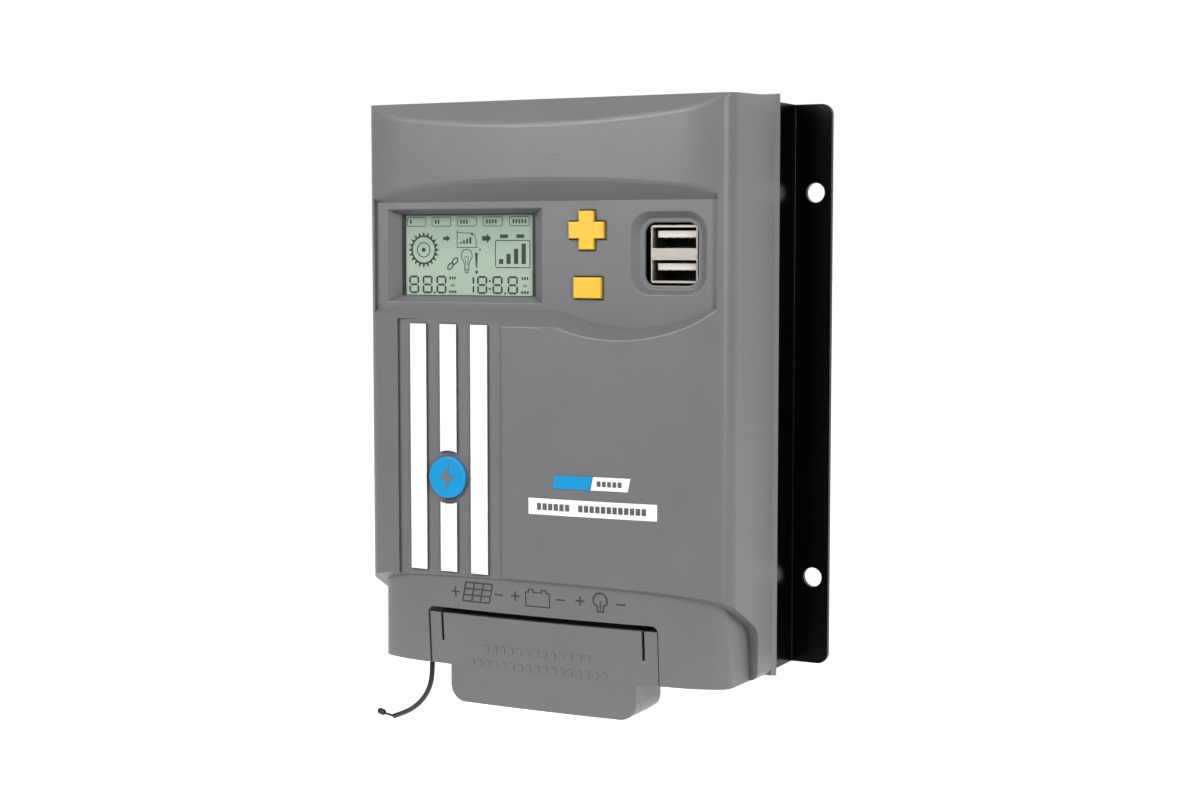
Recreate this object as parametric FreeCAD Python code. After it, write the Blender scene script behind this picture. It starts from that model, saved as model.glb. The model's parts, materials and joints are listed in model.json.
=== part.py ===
"""Wall-mounted solar charge controller, in millimetres.

Frame: +X to the right as seen from the front, +Y into the wall, +Z up.
The origin is the centre of the four wall holes, on the face that lies on the wall.
"""
import FreeCAD, Part
import math
import os

Vector = FreeCAD.Vector
X_AXIS = Vector(1, 0, 0)
Y_AXIS = Vector(0, 1, 0)
Z_AXIS = Vector(0, 0, 1)

# Steel mounting plate, a folded hat section
WALL_HOLE_SPACING_X = 128.0
WALL_HOLE_SPACING_Z = 109.0
WALL_HOLE_RADIUS = 2.75
SHEET = 1.5
PLATE_HALF_WIDTH = 57.8
FLANGE_HALF_WIDTH = 68.7
PLATE_HALF_HEIGHT = 79.2
FLANGE_CORNER_RADIUS = 3.0
BEND_RADIUS = 2.0

# Planes of the moulded shell, measured from the wall
SEAT_Y = -15.6
FRONT_Y = -50.0
PANEL_Y = -44.0
PANEL_BACK_Y = -41.6

# Outline of the moulded shell
BULGE_RADIUS = 452.0
FRONT_HALF_WIDTH = 57.2
BACK_HALF_WIDTH = 58.4
SHOULDER_WIDTH = 8.7
SHOULDER_RADIUS = 36.0
CORNER_SET_BACK = 5.8
CORNER_RADIUS = 5.0
CREASE_RADIUS = 2.5
TOP_BACK_Z = 81.0
TOP_FRONT_Z = 79.9
TOP_FRONT_Y = -44.6
BEVEL_Z = 72.8
BOTTOM_Z = -80.2
WALL = 2.3
LIP_DEPTH = 2.6
LIP_FLARE = 0.45
BEYOND = 12.0
WIDE = 75.0

# Lower housing, stepped in from the shell
STEP_FRONT_Z = -53.0
STEP_SLOPE = 0.556
STEP_BACK_Y = -27.2
STEP_RADIUS = 5.0
HOUSING_TOP_Z = -50.0
HOUSING_TOP_HALF_WIDTH = 53.3
HOUSING_BOTTOM_HALF_WIDTH = 55.0
HOUSING_TOP_Y = -48.9
HOUSING_BOTTOM_Y = -46.7
HOUSING_SIDE_DRAFT = 1.1

# Display panel recess
PANEL_LEFT_X = -54.5
PANEL_RIGHT_X = 53.0
PANEL_TOP_Z = 52.0
PANEL_BOTTOM_Z = 21.5
PANEL_TOP_SLOPE = 0.967
PANEL_BOTTOM_SLOPE = 0.70
PANEL_SIDE_SLOPE = 0.09
SMILE_X = 27.0
SMILE_Z = 71.2
SMILE_RADIUS = 54.0
SMILE_TOP_Z = 40.0
SMILE_SLOPE = 0.574
CRESCENT_EDGE_RADIUS = 1.5
SMILE_EDGE_RADIUS = 0.6

# Display window and display
WINDOW = (-51.0, -0.3, 23.7, 50.0)
WINDOW_INNER = (-48.3, -4.4, 25.4, 48.6)
WINDOW_RIM_Y = -40.3
WINDOW_EDGE_RADIUS = 0.4
GLASS = (-49.2, -3.2, 24.0, 49.8)
GLASS_FRONT_Y = -39.6
GLASS_BACK_Y = -36.8
BACKLIGHT_BACK_Y = -33.6
BEZEL_OUTER = (-51.4, -0.1, 22.4, 51.2)

# Keys
PLUS_X = 13.9
PLUS_Z = 43.9
PLUS_WIDTH = 10.8
PLUS_HEIGHT = 10.6
PLUS_ARM = 4.6
MINUS_X = 14.2
MINUS_Z = 28.15
MINUS_WIDTH = 8.5
MINUS_HEIGHT = 5.8
KEY_FRONT_Y = -45.2
KEY_FLANGE_Y = -41.5
KEY_BACK_Y = -40.6
KEY_FLANGE = 1.0
KEY_CLEARANCE = 0.35
PLUNGER_RADIUS = 1.6
SWITCH_SIZE = 6.0
SWITCH_HEIGHT = 3.5

# Stacked USB sockets
USB_X = 38.4
USB_Z = 37.4
USB_WIDTH = 13.8
USB_HEIGHT = 15.6
USB_FRONT_Y = -40.6
USB_PORT_HEIGHT = 5.6
USB_BAND = 3.2
USB_SIDE_WALL = 0.4
USB_DIVIDER = 0.4
USB_TONGUE_WIDTH = 11.2
USB_TONGUE_THICKNESS = 1.8
USB_TONGUE_FRONT_Y = -38.8
USB_BLOCK_Y = -28.6
USB_RECESS = (26.9, 49.5, 26.4, 48.9)
USB_LEDGE = (28.9, 47.3, 27.7, 47.1)
USB_OPENING = (30.2, 46.0, 28.9, 45.9)
USB_LEDGE_Y = -41.8
USB_RIM_Y = -40.9
USB_RECESS_RADIUS = 6.0
USB_LEDGE_RADIUS = 4.2
USB_OPENING_RADIUS = 3.0
USB_EDGE_RADIUS = 0.4

# Stripes, badge and labels
FIELD_LEFT_X = -45.4
FIELD_RIGHT_X = -10.0
FIELD_TOP_Z = 19.0
FIELD_DEPTH = 0.8
STRIPE_HEIGHT = 0.6
STRIPE_WIDTH = 5.5
STRIPE_PITCH = 10.3
STRIPE_MIDDLE_X = -27.8
STRIPE_TOP_Z = 17.6
STRIPE_BOTTOM_Z = -52.6
FILM = 0.2
BADGE_Z = -25.7
BADGE_RADIUS = 5.9
BADGE_GAP_RADIUS = 7.6
BADGE_HEIGHT = 1.6
MODEL_PLATE = (6.0, 28.7, -26.9, -23.2)
MODEL_SPLIT_X = 17.6
MODEL_SLANT = 0.8
NAME_PLATE = (-1.4, 37.2, -34.4, -29.9)

# Circuit boards
BOARD = 1.6
DISPLAY_BOARD_Y = -27.0
DISPLAY_BOARD = (-53.0, 53.0, 14.0, 57.0)
MAIN_BOARD_Y = -21.6
MAIN_BOARD = (-51.0, 51.0, -77.6, 60.0)
BOARD_NOTCH_X = 41.5
BOARD_NOTCH_Z = -66.0

# Parts on the main board
INDUCTOR_X = 28.0
INDUCTOR_Z = -10.0
CORE_OUTER = 15.0
CORE_INNER = 8.0
CORE_HALF_HEIGHT = 6.0
WIRE = 1.4
CORE_Y = MAIN_BOARD_Y - WIRE - CORE_HALF_HEIGHT
CAPACITOR_RADIUS = 8.0
CAPACITOR_HEIGHT = 20.0
CAPACITOR_X = (-34.0, -16.5, 1.0)
CAPACITOR_Z = -4.0
TRANSISTOR_LOW_Z = 62.0
TRANSISTOR_HIGH_Z = 77.0
TRANSISTOR_FRONT_Y = -20.2
PAD_Y = -15.8

# Screws
SHELL_BOSS_RADIUS = 3.5
SHELL_SCREW_X = 48.0
SHELL_SCREW_TOP_Z = 70.0
SHELL_SCREW_BOTTOM_Z = -71.5
M3_RADIUS = 1.5
M3_HEAD_RADIUS = 2.75
M25_RADIUS = 1.25
M25_HEAD_RADIUS = 2.25
SCREW_PLAY = 0.05

# Terminal bay and terminals
BAY_HALF_WIDTH = 36.5
BAY_TOP_Z = -63.5
BAY_CORNER_RADIUS = 2.0
BAY_FACE_BACK_Y = -42.0
BAY_BACK_Y = -23.2
BAY_WALL = 1.6
POLES = 6
POLE_PITCH = 11.0
BLOCK_FRONT_Y = -39.5
BLOCK_TOP_Z = -65.4
BLOCK_BOTTOM_Z = -79.0
CHAMBER_WIDTH = 7.2
CHAMBER_FRONT_Y = -37.5
CHAMBER_BACK_Y = -24.3
CHAMBER_TOP_Z = -68.4
TERMINAL_AXIS_Z = -73.5
TERMINAL_SCREW_RADIUS = 1.75
TERMINAL_HEAD_RADIUS = 2.8
CAGE_WIDTH = 6.8
CAGE_WALL = 0.8
CAGE_NUT = 2.0
CAGE_FRONT_Y = -33.4
CAGE_BACK_Y = -24.6
CAGE_TOP_Z = -69.6
CAGE_BOTTOM_Z = -77.4
BAR_FRONT_Y = -31.3
BAR_THICKNESS = 1.2
BAR_WIDTH = 4.8

# Terminal cover
COVER_HALF_WIDTH = 36.1
COVER_TOP_Z = -65.2
COVER_SET_BACK = 0.4
COVER_THICKNESS = 1.8
COVER_SLIT_X = 31.9
COVER_SLIT_WIDTH = 0.8
COVER_SLIT_BOTTOM_Z = -73.4
HOOD_HALF_WIDTH = 29.5
HOOD_BOTTOM_Z = -90.6
HOOD_BACK_Y = -29.5
HOOD_BACK_RISE = 2.2
HOOD_CORNER_RADIUS = 4.8

# Sensor lead: its route from the grommet to the bare legs
LEAD_RADIUS = 0.75
LEAD_ROUTE = [
    (-38.5, -41.0, -80.2),
    (-38.5, -41.0, -84.1),
    (-39.9, -39.9, -88.4),
    (-43.2, -37.6, -92.6),
    (-48.2, -34.5, -96.6),
    (-54.2, -31.1, -99.9),
    (-60.2, -27.9, -102.3),
]
LEG_RADIUS = 0.22
BEAD_RADIUS = 0.95
BEAD_LENGTH = 2.8
GROMMET_RADIUS = 1.5
GROMMET_HEIGHT = 2.2


# ---------------------------------------------------------------- basic shapes

def box(x0, x1, y0, y1, z0, z1):
    return Part.makeBox(x1 - x0, y1 - y0, z1 - z0, Vector(x0, y0, z0))


def rod_y(x, z, radius, y0, y1):
    """Cylinder along Y from y0 to y1."""
    return Part.makeCylinder(radius, y1 - y0, Vector(x, y0, z), Y_AXIS)


def rod_z(x, y, radius, z0, z1):
    """Cylinder along Z from z0 to z1."""
    return Part.makeCylinder(radius, z1 - z0, Vector(x, y, z0), Z_AXIS)


def polygon_face(points):
    return Part.Face(Part.makePolygon(points + [points[0]]))


def prism_x(yz_points, x0, x1):
    """Polygon in the YZ plane, extruded from x0 to x1."""
    face = polygon_face([Vector(x0, y, z) for y, z in yz_points])
    return face.extrude(Vector(x1 - x0, 0, 0))


def prism_y(xz_points, y0, y1):
    """Polygon in the XZ plane, extruded from y0 to y1."""
    face = polygon_face([Vector(x, y0, z) for x, z in xz_points])
    return face.extrude(Vector(0, y1 - y0, 0))


def rectangle_wire(rect, y):
    x0, x1, z0, z1 = rect
    corners = [Vector(x0, y, z0), Vector(x1, y, z0), Vector(x1, y, z1), Vector(x0, y, z1)]
    return Part.makePolygon(corners + [corners[0]])


def tapered_pocket(rect_a, y_a, rect_b, y_b):
    """Straight-sided solid between two rectangles that are parallel to the panel."""
    return Part.makeLoft([rectangle_wire(rect_a, y_a), rectangle_wire(rect_b, y_b)], True, True)


def rounded_block(rect, radius, y0, y1):
    """Block with rounded corners as seen from the front."""
    x0, x1, z0, z1 = rect
    block = box(x0, x1, y0, y1, z0, z1)
    return block.makeFillet(radius, edges_along(block, Y_AXIS))


def edges_along(shape, axis, test=None):
    """Straight edges parallel to an axis whose centre passes the test."""
    found = []
    for edge in shape.Edges:
        if not isinstance(edge.Curve, Part.Line):
            continue
        direction = edge.tangentAt(edge.FirstParameter)
        if abs(abs(direction.dot(axis)) - 1.0) > 1e-6:
            continue
        if test is None or test(edge.CenterOfMass):
            found.append(edge)
    return found


def middle_of(edge):
    first, last = edge.ParameterRange
    return edge.valueAt((first + last) / 2)


def fuse(shapes):
    return shapes[0].multiFuse(shapes[1:]).removeSplitter()


def mirrored(shape):
    """Copy of a shape on the other side of the plane X = 0."""
    return shape.mirror(Vector(0, 0, 0), X_AXIS)


def pan_screw(x, z, head_y, tip_y, radius, head_radius, head_height):
    """Screw along Y whose head stands on head_y and whose tip is at tip_y."""
    away = 1.0 if head_y > tip_y else -1.0
    shank = rod_y(x, z, radius, min(head_y, tip_y), max(head_y, tip_y))
    head_end = head_y + away * head_height
    head = rod_y(x, z, head_radius, min(head_y, head_end), max(head_y, head_end))
    rim = [e for e in head.Edges if abs(e.CenterOfMass.y - head_end) < 1e-6 and e.Closed]
    head = head.makeFillet(head_height * 0.45, rim)
    slot_depth = head_height * 0.5
    slot_y0 = min(head_end, head_end - away * slot_depth)
    slot_width = head_radius * 0.28
    reach = head_radius * 0.6
    cross = fuse([
        box(x - reach, x + reach, slot_y0, slot_y0 + slot_depth, z - slot_width, z + slot_width),
        box(x - slot_width, x + slot_width, slot_y0, slot_y0 + slot_depth, z - reach, z + reach),
    ])
    return fuse([shank, head]).cut(cross)


# ------------------------------------------------------------- shell outlines

def front_y_at(x):
    """Y of the convex front surface at a given X."""
    return FRONT_Y + BULGE_RADIUS - math.sqrt(BULGE_RADIUS ** 2 - x ** 2)


def outline_face(half_front, half_back, front_y, z, inset=0.0, back_y=SEAT_Y):
    """Horizontal outline: convex front, shoulders, round corners, drafted sides, straight back."""
    shoulder_x = half_front - SHOULDER_WIDTH
    shoulder_y = front_y_at(shoulder_x) + front_y - FRONT_Y
    corner_y = front_y + CORNER_SET_BACK
    far_y = back_y + inset
    corners = [
        Vector(-shoulder_x, shoulder_y, z),
        Vector(shoulder_x, shoulder_y, z),
        Vector(half_front, corner_y, z),
        Vector(half_back, far_y, z),
        Vector(-half_back, far_y, z),
        Vector(-half_front, corner_y, z),
    ]
    edges = [Part.Arc(corners[0], Vector(0, front_y, z), corners[1]).toShape()]
    for start, end in zip(corners[1:], corners[2:] + corners[:1]):
        edges.append(Part.LineSegment(start, end).toShape())
    slab = Part.Face(Part.Wire(edges)).extrude(Vector(0, 0, 1.0))
    for x, radius in ((shoulder_x, SHOULDER_RADIUS), (half_front, CORNER_RADIUS)):
        at_x = edges_along(slab, Z_AXIS, lambda c: abs(abs(c.x) - x) < 0.01 and c.y < corner_y + 1.0)
        slab = slab.makeFillet(radius, at_x)
    face = min(slab.Faces, key=lambda f: f.CenterOfMass.z)
    if inset:
        face = face.makeOffset2D(-inset)
    return face


def upper_block(inset, back_y=SEAT_Y):
    """Prism of the main outline, moved inwards by inset."""
    face = outline_face(FRONT_HALF_WIDTH, BACK_HALF_WIDTH, FRONT_Y, -100.0, inset, back_y)
    return face.extrude(Vector(0, 0, 200.0))


def bevel_z(y):
    """Height of the sloping top bevel at a given Y."""
    return BEVEL_Z + (y - FRONT_Y) * (TOP_FRONT_Z - BEVEL_Z) / (TOP_FRONT_Y - FRONT_Y)


def upper_profile(inset):
    """Side view of the main outline, as a prism right across the width."""
    low_y = FRONT_Y - 2.0
    points = [
        (SEAT_Y + BEYOND, TOP_BACK_Z - inset),
        (TOP_FRONT_Y + inset * 0.5, TOP_FRONT_Z - inset),
        (low_y + inset * 0.5, bevel_z(low_y) - inset),
        (low_y, BOTTOM_Z + inset),
        (SEAT_Y + BEYOND, BOTTOM_Z + inset),
    ]
    return prism_x(points, -70.0, 70.0)


def upper_body():
    """Outer body of the main shell, its bevel's edges rounded."""
    body = upper_block(0.0).common(upper_profile(0.0))
    bevel = max(body.Faces, key=bevel_likeness)
    return body.makeFillet(CREASE_RADIUS, bevel.Edges)


def bevel_likeness(face):
    """How squarely a face looks up and forward, weighted by its area."""
    u0, u1, v0, v1 = face.ParameterRange
    normal = face.normalAt((u0 + u1) / 2, (v0 + v1) / 2)
    return face.Area * max(0.0, normal.dot(Vector(0, -0.8, 0.6))) ** 8


def step_region(inset):
    """Everything in front of and below the stepped-in edge, grown by inset."""
    run = STEP_BACK_Y + inset - FRONT_Y
    top_z = STEP_FRONT_Z + inset * 1.15
    corner_z = top_z - run * STEP_SLOPE
    front_y = FRONT_Y - BEYOND
    points = [
        (front_y, top_z + BEYOND * STEP_SLOPE),
        (STEP_BACK_Y + inset, corner_z),
        (STEP_BACK_Y + inset, -100.0),
        (front_y, -100.0),
    ]
    region = prism_x(points, -70.0, 70.0)
    corner = edges_along(region, X_AXIS, lambda c: abs(c.z - corner_z) < 0.01)
    return region.makeFillet(STEP_RADIUS, corner)


def housing_block(inset, bottom_z=BOTTOM_Z):
    """Lower housing: narrower and leaning back a little towards the bottom."""
    share = (bottom_z - HOUSING_TOP_Z) / (BOTTOM_Z - HOUSING_TOP_Z)
    top_half = HOUSING_TOP_HALF_WIDTH
    low_half = top_half + share * (HOUSING_BOTTOM_HALF_WIDTH - top_half)
    low_y = HOUSING_TOP_Y + share * (HOUSING_BOTTOM_Y - HOUSING_TOP_Y)
    top = outline_face(top_half, top_half + HOUSING_SIDE_DRAFT, HOUSING_TOP_Y, HOUSING_TOP_Z, inset)
    low = outline_face(low_half, low_half + HOUSING_SIDE_DRAFT, low_y, bottom_z, inset)
    return Part.makeLoft([top.OuterWire, low.OuterWire], True, True)


def grown(rect, x_grow, low_grow, high_grow):
    x0, x1, z0, z1 = rect
    return (x0 - x_grow, x1 + x_grow, z0 - low_grow, z1 + high_grow)


def wide_front():
    """Slab with the shell's front surface, its shoulders running on far past the sides."""
    shoulder_x = FRONT_HALF_WIDTH - SHOULDER_WIDTH
    shoulder_y = front_y_at(shoulder_x)
    slope = (FRONT_Y + CORNER_SET_BACK - shoulder_y) / SHOULDER_WIDTH
    far_y = shoulder_y + slope * (WIDE - shoulder_x)
    back_y = PANEL_Y + BEYOND
    z = -20.0
    corners = [
        Vector(-shoulder_x, shoulder_y, z),
        Vector(shoulder_x, shoulder_y, z),
        Vector(WIDE, far_y, z),
        Vector(WIDE, back_y, z),
        Vector(-WIDE, back_y, z),
        Vector(-WIDE, far_y, z),
    ]
    edges = [Part.Arc(corners[0], Vector(0, FRONT_Y, z), corners[1]).toShape()]
    for start, end in zip(corners[1:], corners[2:] + corners[:1]):
        edges.append(Part.LineSegment(start, end).toShape())
    slab = Part.Face(Part.Wire(edges)).extrude(Vector(0, 0, 100.0))
    at_shoulder = edges_along(slab, Z_AXIS, lambda c: abs(abs(c.x) - shoulder_x) < 0.01)
    return slab.makeFillet(SHOULDER_RADIUS, at_shoulder)


def long_recess(depth):
    """Recess without its ends: sloping top and bottom, the bottom turning into the smile on the right."""
    front_y = PANEL_Y - depth
    left = (-WIDE - 5.0, SMILE_X, PANEL_BOTTOM_Z, PANEL_TOP_Z)
    above = (-WIDE - 5.0, WIDE + 5.0, SMILE_TOP_Z - 2.0, PANEL_TOP_Z)
    top_growth = depth * PANEL_TOP_SLOPE
    wide_left = grown(left, 0.0, depth * PANEL_BOTTOM_SLOPE, top_growth)
    cone = Part.makeCone(SMILE_RADIUS, SMILE_RADIUS + depth * SMILE_SLOPE, depth,
                         Vector(SMILE_X, PANEL_Y, SMILE_Z), Vector(0, -1, 0))
    smile = cone.common(box(-WIDE, WIDE, front_y - 1.0, PANEL_Y, 0.0, SMILE_TOP_Z))
    return fuse([tapered_pocket(left, PANEL_Y, wide_left, front_y),
                 tapered_pocket(above, PANEL_Y, grown(above, 0.0, 0.0, top_growth), front_y), smile])


def panel_recess():
    """What is cut away for the display panel, its front edges rounded."""
    depth = PANEL_Y - FRONT_Y + 2.0
    front = wide_front()
    kept = front.cut(long_recess(depth))

    def on_front(point):
        return min(face.distToShape(Part.Vertex(point))[0] for face in front.Faces) < 0.01

    for radius, low_z, high_z in ((CRESCENT_EDGE_RADIUS, 53.0, 60.0), (SMILE_EDGE_RADIUS, 10.0, 18.5)):
        rim = []
        for edge in kept.Edges:
            middle = middle_of(edge)
            if low_z < middle.z < high_z and abs(middle.x) < WIDE - 1.0 and on_front(middle):
                rim.append(edge)
        kept = kept.makeFillet(radius, rim)
    ends = (PANEL_LEFT_X, PANEL_RIGHT_X, -5.0, 70.0)
    between = tapered_pocket(ends, PANEL_Y, grown(ends, depth * PANEL_SIDE_SLOPE, 0.0, 0.0), PANEL_Y - depth)
    return front.cut(kept).common(between)


def usb_recess():
    """Dished recess round the USB sockets: sloping wall, ledge, and the opening."""
    outer = rounded_wire(USB_RECESS, USB_RECESS_RADIUS, PANEL_Y - 0.01)
    ledge = rounded_wire(USB_LEDGE, USB_LEDGE_RADIUS, USB_LEDGE_Y)
    dish = Part.makeLoft([outer, ledge], True, True)
    opening = rounded_block(USB_OPENING, USB_OPENING_RADIUS, USB_LEDGE_Y - 0.5, USB_RIM_Y + 1.0)
    return dish.fuse(opening)


def rounded_wire(rect, radius, y):
    """Outline of a rectangle with round corners, seen from the front."""
    block = rounded_block(rect, radius, y, y + 1.0)
    return min(block.Faces, key=lambda f: f.CenterOfMass.y).OuterWire


def plus_block(grow, y0, y1):
    """Plus-shaped block, all its sides moved outwards by grow."""
    half_w = PLUS_WIDTH / 2 + grow
    half_h = PLUS_HEIGHT / 2 + grow
    half_a = PLUS_ARM / 2 + grow
    across = box(PLUS_X - half_w, PLUS_X + half_w, y0, y1, PLUS_Z - half_a, PLUS_Z + half_a)
    upright = box(PLUS_X - half_a, PLUS_X + half_a, y0, y1, PLUS_Z - half_h, PLUS_Z + half_h)
    return fuse([across, upright])


def minus_block(grow, y0, y1):
    """Rectangular block of the minus key, its sides moved outwards by grow."""
    half_w = MINUS_WIDTH / 2 + grow
    half_h = MINUS_HEIGHT / 2 + grow
    return box(MINUS_X - half_w, MINUS_X + half_w, y0, y1, MINUS_Z - half_h, MINUS_Z + half_h)


def shell_screw_places():
    return [(side * SHELL_SCREW_X, z)
            for z in (SHELL_SCREW_TOP_Z, SHELL_SCREW_BOTTOM_Z)
            for side in (-1, 1)]


def display_screw_places():
    x0, x1, z0, z1 = DISPLAY_BOARD
    return [(x, z) for x in (x0 + 3.2, x1 - 3.2) for z in (z0 + 2.9, z1 - 2.9)]


# ------------------------------------------------------------------ the shell

def shell_lip():
    """Slightly flared rim where the shell meets the steel plate."""
    y0 = SEAT_Y - LIP_DEPTH
    inner = (-BACK_HALF_WIDTH + 0.2, BACK_HALF_WIDTH - 0.2, BOTTOM_Z - 0.05, TOP_BACK_Z - 0.1)
    outer = grown(inner, LIP_FLARE + 0.2, LIP_FLARE, LIP_FLARE)
    return tapered_pocket(inner, y0, outer, SEAT_Y)


def stripe_field():
    """Shallow field for the stripes: what is cut from the front surface."""
    area = box(FIELD_LEFT_X, FIELD_RIGHT_X, FRONT_Y - 5.0, PANEL_Y, STRIPE_BOTTOM_Z - BEYOND, FIELD_TOP_Z)
    outside = box(-70.0, 70.0, FRONT_Y - 5.0, SEAT_Y, -100.0, 100.0).cut(upper_block(FIELD_DEPTH))
    floor_cut = area.common(outside)
    keep = [stripe_bar(x, z0, z1, FIELD_DEPTH + 1.0, FIELD_DEPTH - STRIPE_HEIGHT)
            for x, z0, z1 in stripe_places()]
    return floor_cut.cut(keep[0].multiFuse(keep[1:]))


def stripe_places():
    """Centre line, bottom and top of each length of stripe."""
    places = []
    for index in (-1, 0, 1):
        x = STRIPE_MIDDLE_X + index * STRIPE_PITCH
        if index == 0:
            places.append((x, STRIPE_BOTTOM_Z, BADGE_Z - BADGE_GAP_RADIUS))
            places.append((x, BADGE_Z + BADGE_GAP_RADIUS, STRIPE_TOP_Z))
        else:
            places.append((x, STRIPE_BOTTOM_Z, STRIPE_TOP_Z))
    return places


def stripe_bar(x, z0, z1, deep, shallow):
    """Upright bar between two depths below the front surface, clear of the badge."""
    reach = 2.0
    blank = box(x - STRIPE_WIDTH / 2, x + STRIPE_WIDTH / 2, FRONT_Y - 2.0, PANEL_Y + 2.0,
                z0 - reach, z1 + reach)
    limit = box(-60.0, 0.0, FRONT_Y - 5.0, PANEL_Y + 5.0, STRIPE_BOTTOM_Z, STRIPE_TOP_Z)
    layer = upper_block(shallow).cut(upper_block(deep))
    gap = rod_y(STRIPE_MIDDLE_X, BADGE_Z, BADGE_GAP_RADIUS, FRONT_Y - 5.0, PANEL_Y + 5.0)
    return blank.common(limit).common(layer).cut(gap)


def shell_cavity():
    """Room inside the shell, open at the back."""
    upper = upper_block(WALL, SEAT_Y + 1.0).common(upper_profile(WALL))
    upper = upper.cut(step_region(WALL))
    lower = housing_block(WALL, BOTTOM_Z).common(box(-70, 70, -60, SEAT_Y + 1.0, BOTTOM_Z + WALL, -40))
    cavity = upper.fuse(lower)
    backing = box(-60.0, 60.0, FRONT_Y - 1.0, PANEL_BACK_Y, 11.5, 60.0)
    window_rim = box(BEZEL_OUTER[0] - 1.2, BEZEL_OUTER[1] + 0.4, FRONT_Y, WINDOW_RIM_Y,
                     BEZEL_OUTER[2] - 1.2, BEZEL_OUTER[3] + 1.2)
    usb_rim = box(USB_X - USB_WIDTH / 2 - 3.6, USB_X + USB_WIDTH / 2 + 3.6, FRONT_Y, USB_RIM_Y,
                  USB_Z - USB_HEIGHT / 2 - 3.0, USB_Z + USB_HEIGHT / 2 + 3.0)
    bay_walls = box(-BAY_HALF_WIDTH - BAY_WALL, BAY_HALF_WIDTH + BAY_WALL, -60.0, BAY_BACK_Y,
                    -90.0, BAY_TOP_Z + BAY_WALL)
    keep = [backing, window_rim, usb_rim, bay_walls]
    keep += [rod_y(x, z, SHELL_BOSS_RADIUS, -60.0, SEAT_Y + 2.0) for x, z in shell_screw_places()]
    keep += [rod_y(x, z, 2.8, -60.0, DISPLAY_BOARD_Y) for x, z in display_screw_places()]
    return cavity.cut(keep[0].multiFuse(keep[1:]))


def display_window():
    return tapered_pocket(WINDOW, PANEL_Y, WINDOW_INNER, WINDOW_RIM_Y)


def shell_openings():
    """Rest of the window, key holes, socket hole, terminal bay and screw holes."""
    x0, x1, z0, z1 = WINDOW_INNER
    through = 2.0
    cuts = [
        box(x0, x1, WINDOW_RIM_Y - 0.1, WINDOW_RIM_Y + through, z0, z1),
        rounded_block(USB_OPENING, USB_OPENING_RADIUS, USB_RIM_Y - 1.0, USB_RIM_Y + through),
        plus_block(KEY_CLEARANCE, PANEL_Y - 1.0, PANEL_BACK_Y + 0.5),
        minus_block(KEY_CLEARANCE, PANEL_Y - 1.0, PANEL_BACK_Y + 0.5),
        box(-BAY_HALF_WIDTH, BAY_HALF_WIDTH, BAY_FACE_BACK_Y, MAIN_BOARD_Y, -90.0, BAY_TOP_Z),
        rounded_block((-BAY_HALF_WIDTH, BAY_HALF_WIDTH, -90.0, BAY_TOP_Z), BAY_CORNER_RADIUS, -60.0,
                      BAY_FACE_BACK_Y),
        rod_z(LEAD_ROUTE[0][0], LEAD_ROUTE[0][1], GROMMET_RADIUS, BOTTOM_Z - 1.0,
              BOTTOM_Z + GROMMET_HEIGHT),
    ]
    cuts += [rod_y(x, z, M3_RADIUS + SCREW_PLAY, -29.0, SEAT_Y + 3.0) for x, z in shell_screw_places()]
    cuts += [rod_y(x, z, M25_RADIUS + SCREW_PLAY, -36.0, DISPLAY_BOARD_Y + 1.0)
             for x, z in display_screw_places()]
    return cuts


def soften_openings(body):
    """Round the edges of the window and of the sockets' recess."""
    for rect, y, radius in ((WINDOW, PANEL_Y, WINDOW_EDGE_RADIUS), (USB_RECESS, PANEL_Y, USB_EDGE_RADIUS),
                            (USB_OPENING, USB_LEDGE_Y, USB_EDGE_RADIUS)):
        x0, x1, z0, z1 = grown(rect, 0.1, 0.1, 0.1)
        rim = []
        for edge in body.Edges:
            middle = middle_of(edge)
            if abs(middle.y - y) < 0.02 and x0 < middle.x < x1 and z0 < middle.z < z1:
                rim.append(edge)
        body = body.makeFillet(radius, rim)
    return body


def front_shell():
    body = upper_body().cut(step_region(0.0))
    housing = housing_block(0.0)
    body = body.fuse(housing.common(box(-70, 70, -60, SEAT_Y, -90, HOUSING_TOP_Z - 1.0)))
    body = body.fuse(shell_lip())
    body = body.cut(panel_recess()).cut(display_window()).cut(usb_recess())
    body = soften_openings(body)
    body = body.cut(stripe_field()).cut(shell_cavity())
    for cut in shell_openings():
        body = body.cut(cut)
    return body.removeSplitter()


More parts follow.
